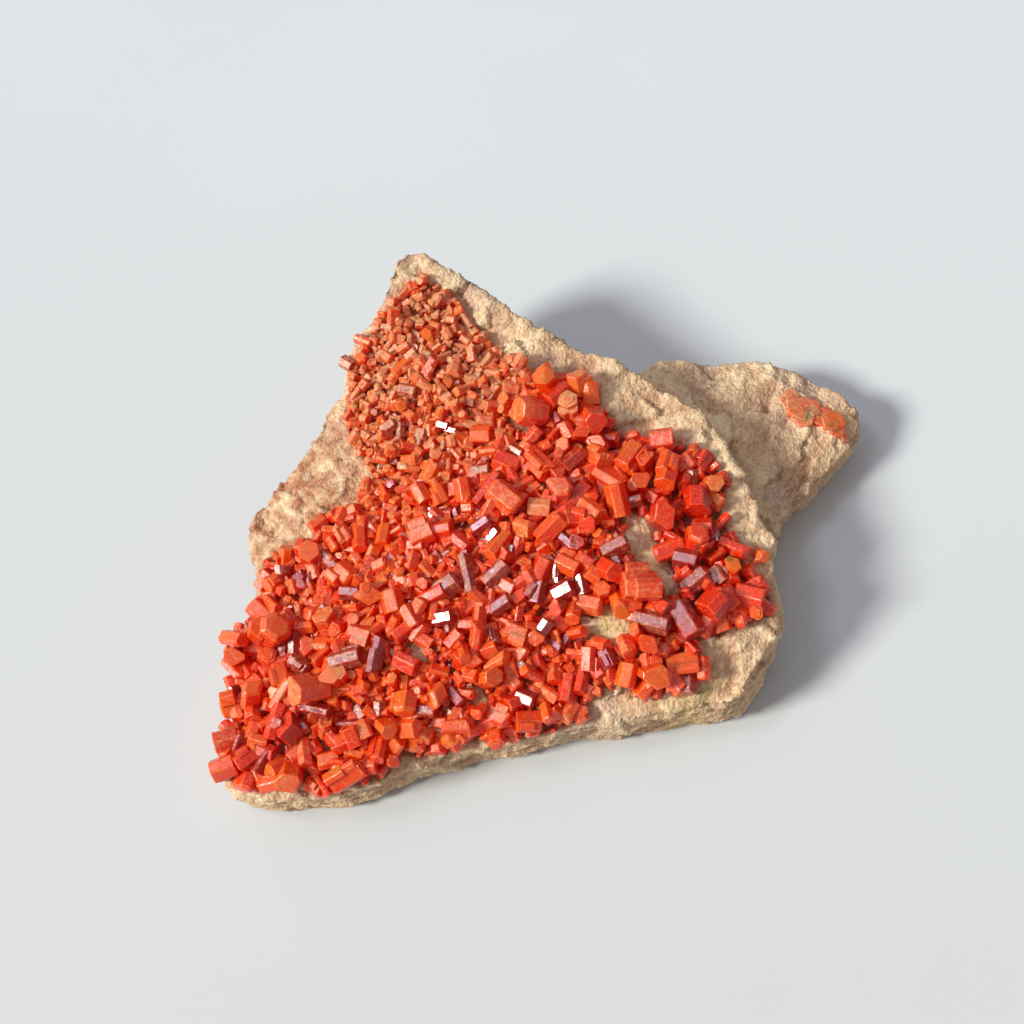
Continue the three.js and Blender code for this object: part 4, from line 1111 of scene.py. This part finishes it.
def add_camera(settings):
    scene = bpy.context.scene
    data = bpy.data.cameras.new("viewer")
    data.lens = settings.lens
    data.sensor_width = SENSOR_WIDTH
    data.clip_start = NEAREST_SEEN * MM
    camera = bpy.data.objects.new("viewer", data)
    scene.collection.objects.link(camera)
    target = (Vector((0, 0, settings.look_height)) + shift()) * MM
    elevation = math.radians(settings.elevation)
    back = Vector((0, -math.cos(elevation), math.sin(elevation)))
    camera.location = target + back * settings.distance * MM
    camera.rotation_euler = (-back).to_track_quat("-Z", "Y").to_euler()
    scene.camera = camera


# ---- Settings ----
def number_prop(name, description, default):
    return FloatProperty(name=name, description=description, default=default)


def mm_prop(name, description, default):
    """A size setting in millimetres."""
    return FloatProperty(name=name, description=description + ", in millimetres", default=default, min=0)


def degrees_prop(name, description, default):
    """An angle setting in degrees."""
    return number_prop(name, description + ", in degrees", default)


def share_prop(name, description, default):
    """A setting from 0 to 1."""
    return FloatProperty(name=name, description=description, default=default, min=0, max=1, subtype="FACTOR")


def colour_prop(name, description, default):
    return FloatVectorProperty(
        name=name, description=description, default=default, subtype="COLOR", size=3, min=0, max=1
    )


def direction_prop(name, description, default):
    return FloatVectorProperty(name=name, description=description, default=default, subtype="DIRECTION", size=3)


class RockSettings(bpy.types.PropertyGroup):
    mesh_size: mm_prop("Mesh Size", "Side of the squares that the rock is modelled in", 0.36)
    chip_height: mm_prop("Chip Height", "How far the broken chips stand out", 0.42)
    grain_height: mm_prop("Grain Height", "How far the sand grains stand out", 0.12)
    layer_height: mm_prop("Layer Height", "Thickness of the layers seen on the broken walls", 1.7)
    layer_relief: mm_prop("Layer Relief", "How far the harder layers stand out", 0.16)
    grain_size: mm_prop("Grain Size", "Size of the sand grains in the finish", 0.42)
    tan: colour_prop("Tan", "Main colour of the sandstone", (0.65, 0.425, 0.255))
    cream: colour_prop("Cream", "Colour of its paler areas", (0.74, 0.53, 0.335))
    brown: colour_prop("Brown", "Colour of its pinkish brown areas", (0.48, 0.255, 0.155))
    mauve: colour_prop("Mauve", "Colour of its greyer areas", (0.46, 0.295, 0.24))
    # Used on the highest chips.
    pale_edge: colour_prop("Pale Edge", "Colour of worn chip edges", (0.8, 0.6, 0.38))
    rust: colour_prop("Rust", "Colour of the rusty stains", (0.4, 0.16, 0.08))
    ochre: colour_prop("Ochre", "Colour of the yellowish stains", (0.52, 0.4, 0.15))
    # A painted shade: dark red where the rock lies between the crystals.
    painted_crust_shade: colour_prop("Under Crust", "Colour of the rock under the crystals", (0.26, 0.06, 0.025))


class CrystalSettings(bpy.types.PropertyGroup):
    seed: IntProperty(name="Seed", description="Starting number of the random choices", default=7)
    root: number_prop("Root", "Level of a crystal's rooted side above the rock, in millimetres", -0.1)
    garnet: colour_prop("Garnet", "Colour of the clearest faces, which light passes into", (0.34, 0.02, 0.02))
    deep_red: colour_prop("Deep Red", "Colour of the largest crystals", (0.736, 0.0084, 0.0012))
    red: colour_prop("Red", "Colour of most crystals", (0.902, 0.0234, 0.0018))
    orange: colour_prop("Orange", "Colour of the thinner crystals", (0.97, 0.0935, 0.0042))
    amber: colour_prop("Amber", "Colour of the palest crystals", (1, 0.184, 0.014))
    # Painted highlight: the sugar colour is painted brightest on the faces towards the lamp.
    sugar: colour_prop("Sugar", "Colour of the fine sugary growth on the lit faces", (1, 0.324, 0.078))
    # A painted glow: red light sent out by the faces turned away from the lamp.
    painted_inner_glow: colour_prop("Inner Glow", "Light that reaches the shaded faces from within", (0.07, 0.0006, 0.0002))
    dust_light: colour_prop("Light Dust", "Colour of the pale grains on the crystals", (0.95, 0.55, 0.29))
    dust_dark: colour_prop("Dark Dust", "Colour of the dark grains on the crystals", (0.66, 0.23, 0.085))
    ior: FloatProperty(name="IOR", description="Index of refraction", default=1.65, min=1, max=3)
    polish: share_prop("Polish", "Roughness of the cleanest faces", 0.07)
    standing_share: share_prop("Standing Share", "Share of the long leaning crystals that stand as blocks", 0.35)
    glow: share_prop("Glow", "Share of light that passes under the surface", 1.0)
    glow_colour: FloatVectorProperty(
        name="Glow Reach", description="How far each colour passes, as shares of the depth", default=(1.0, 0.3, 0.1)
    )
    glow_depth: mm_prop("Glow Depth", "How deep the light passes", 0.4)
    clearness: share_prop("Clearness", "Share of light that passes straight", 0.3)
    lamp_mirror: direction_prop("Lamp Mirror", "Direction of a face that mirrors the lamp", (-0.428, -0.382, 0.819))
    window_mirror: direction_prop("Window Mirror", "Direction of a face that mirrors it", (-0.30, -0.20, 0.94))
    lamp_share: share_prop("Lamp Share", "Share of small crystals that mirror the lamp", 0.022)
    window_share: share_prop("Window Share", "Share of small crystals that mirror the high window", 0.08)


class StageSettings(bpy.types.PropertyGroup):
    table_size: mm_prop("Table Size", "Side of the table top", 3000)
    # Painted light: the table is painted darker near the viewer than beyond the specimen.
    painted_dim_table_near: colour_prop("Near Table", "Colour of the table top nearest the viewer", (0.585, 0.585, 0.605))
    painted_bright_table_far: colour_prop("Far Table", "Colour of the table top beyond the specimen", (0.6, 0.62, 0.655))
    lamp_strength: number_prop("Lamp Strength", "Strength of the low lamp", 4.2)
    lamp_colour: colour_prop("Lamp Colour", "Colour of the low lamp", (0.98, 1.0, 0.9))
    lamp_spread: degrees_prop("Lamp Spread", "Width of the lamp as seen", 13)
    lamp_direction: direction_prop("Lamp Direction", "The way the lamp's light travels", (0.774, 0.267, -0.574))
    window_strength: number_prop("Window Strength", "Strength of the high window", 0.55)
    window_colour: colour_prop("Window Colour", "Colour of the high window", (0.82, 0.84, 1.0))
    window_spread: degrees_prop("Window Spread", "Width of the window as seen", 13)
    window_direction: direction_prop("Window Direction", "The way its light travels", (0.554, -0.053, -0.831))
    warm_side: direction_prop("Warm Side", "Where the warmer light comes from, opposite the lamp", (0.75, -0.66, 0.0))
    cool_sky: colour_prop("Cool Sky", "Light from the far side", (0.17, 0.2, 0.24))
    warm_sky: colour_prop("Warm Sky", "Light from the near right, sent back by the walls", (0.36, 0.33, 0.3))
    ceiling_side: direction_prop("Ceiling Side", "Where the pale ceiling lies", (-0.3, 0.3, 0.9))
    ceiling: colour_prop("Ceiling", "Light from the pale ceiling", (0.8, 0.82, 0.86))
    sky_strength: number_prop("Sky Strength", "Strength of the light all round", 1.02)
    lens: mm_prop("Lens", "Focal length of the camera", 50)
    elevation: degrees_prop("Elevation", "How high the camera looks down from", 65)
    distance: mm_prop("Distance", "How far off the camera stands", 189.63)
    look_height: mm_prop("Look Height", "Height of the point that the camera looks at", 8)


class SpecimenSettings(bpy.types.PropertyGroup):
    rock: PointerProperty(type=RockSettings, name="Rock", description="Sizes and colours of the rock")
    crystals: PointerProperty(type=CrystalSettings, name="Crystals", description="Sizes and colours of the crystals")
    stage: PointerProperty(type=StageSettings, name="Stage", description="Table, lights and camera")


def red_material(settings):
    return bpy.data.materials.get("Vanadinite red") or crystal_material("Vanadinite red", settings, 0.0)


# ---- Operators ----
class SPECIMEN_OT_rock(bpy.types.Operator):
    """Adds the broken slab of sandy rock"""

    bl_idname = "specimen.rock"
    bl_label = "Add Rock"

    def execute(self, context):
        settings = context.scene.specimen.rock
        add_object("rock", rock_mesh(settings), rock_material(settings), "matrix_rock", ["matrix"])
        return {"FINISHED"}


class SPECIMEN_OT_large_crystals(bpy.types.Operator):
    """Adds the larger crystals of the crust, each in its own place"""

    bl_idname = "specimen.large_crystals"
    bl_label = "Add Large Crystals"

    def execute(self, context):
        settings = context.scene.specimen.crystals
        mesh = large_crystals_mesh(settings)
        add_object("large_crystals", mesh, red_material(settings), "vanadinite_red", ["druse"])
        return {"FINISHED"}


class SPECIMEN_OT_small_crystals(bpy.types.Operator):
    """Fills the crust between the larger crystals, from medium ones down to crumbs"""

    bl_idname = "specimen.small_crystals"
    bl_label = "Add Small Crystals"

    def execute(self, context):
        settings = context.scene.specimen.crystals
        for row in CRUST_LAYERS:
            mesh = small_crystals_mesh(settings, **row)
            add_object(row["name"], mesh, red_material(settings), "vanadinite_red", ["druse"])
        return {"FINISHED"}


class SPECIMEN_OT_ledge_crystals(bpy.types.Operator):
    """Adds the pink crystals that lie on the low ledge"""

    bl_idname = "specimen.ledge_crystals"
    bl_label = "Add Ledge Crystals"

    def execute(self, context):
        settings = context.scene.specimen.crystals
        material = crystal_material("Vanadinite pink", settings, 0.08)
        mesh = ledge_crystals_mesh(settings)
        add_object("ledge_crystal_pair", mesh, material, "vanadinite_pink", ["ledge_crystals"])
        return {"FINISHED"}


class SPECIMEN_OT_rim_crystal(bpy.types.Operator):
    """Adds the small amber crystal on the rim"""

    bl_idname = "specimen.rim_crystal"
    bl_label = "Add Rim Crystal"

    def execute(self, context):
        settings = context.scene.specimen.crystals
        material = crystal_material("Vanadinite amber", settings, 0.15)
        mesh = rim_crystal_mesh(settings)
        add_object("rim_crystal_amber", mesh, material, "vanadinite_amber", ["rim_crystal"])
        return {"FINISHED"}


class SPECIMEN_OT_stage(bpy.types.Operator):
    """Adds the pale table top, the lights and the camera"""

    bl_idname = "specimen.stage"
    bl_label = "Add Stage"

    def execute(self, context):
        settings = context.scene.specimen.stage
        add_table(settings)
        add_lights(settings)
        add_camera(settings)
        return {"FINISHED"}


PIECE_OPERATORS = [
    SPECIMEN_OT_rock, SPECIMEN_OT_large_crystals, SPECIMEN_OT_small_crystals, SPECIMEN_OT_ledge_crystals,
    SPECIMEN_OT_rim_crystal, SPECIMEN_OT_stage,
]


class SPECIMEN_PT_sidebar(bpy.types.Panel):
    """Lists the specimen's pieces and settings"""

    bl_idname = "SPECIMEN_PT_sidebar"
    bl_label = "Vanadinite on Matrix"
    bl_space_type = "VIEW_3D"
    bl_region_type = "UI"
    bl_category = "Vanadinite"

    def draw(self, context):
        for operator in PIECE_OPERATORS:
            self.layout.operator(operator.bl_idname)
        for group in ("rock", "crystals", "stage"):
            settings = getattr(context.scene.specimen, group)
            box = self.layout.box()
            box.label(text=group.title())
            for name in settings.bl_rna.properties.keys():
                if name not in ("rna_type", "name"):
                    box.prop(settings, name)


CLASSES = [
    RockSettings, CrystalSettings, StageSettings, SpecimenSettings, *PIECE_OPERATORS, SPECIMEN_PT_sidebar,
]


def register():
    for item in CLASSES:
        bpy.utils.register_class(item)
    bpy.types.Scene.specimen = PointerProperty(type=SpecimenSettings)


def unregister():
    del bpy.types.Scene.specimen
    for item in reversed(CLASSES):
        bpy.utils.unregister_class(item)


def main():
    register()
    bpy.ops.specimen.stage()
    bpy.ops.specimen.rock()
    bpy.ops.specimen.large_crystals()
    bpy.ops.specimen.small_crystals()
    bpy.ops.specimen.ledge_crystals()
    bpy.ops.specimen.rim_crystal()


if __name__ == "__main__":
    main()
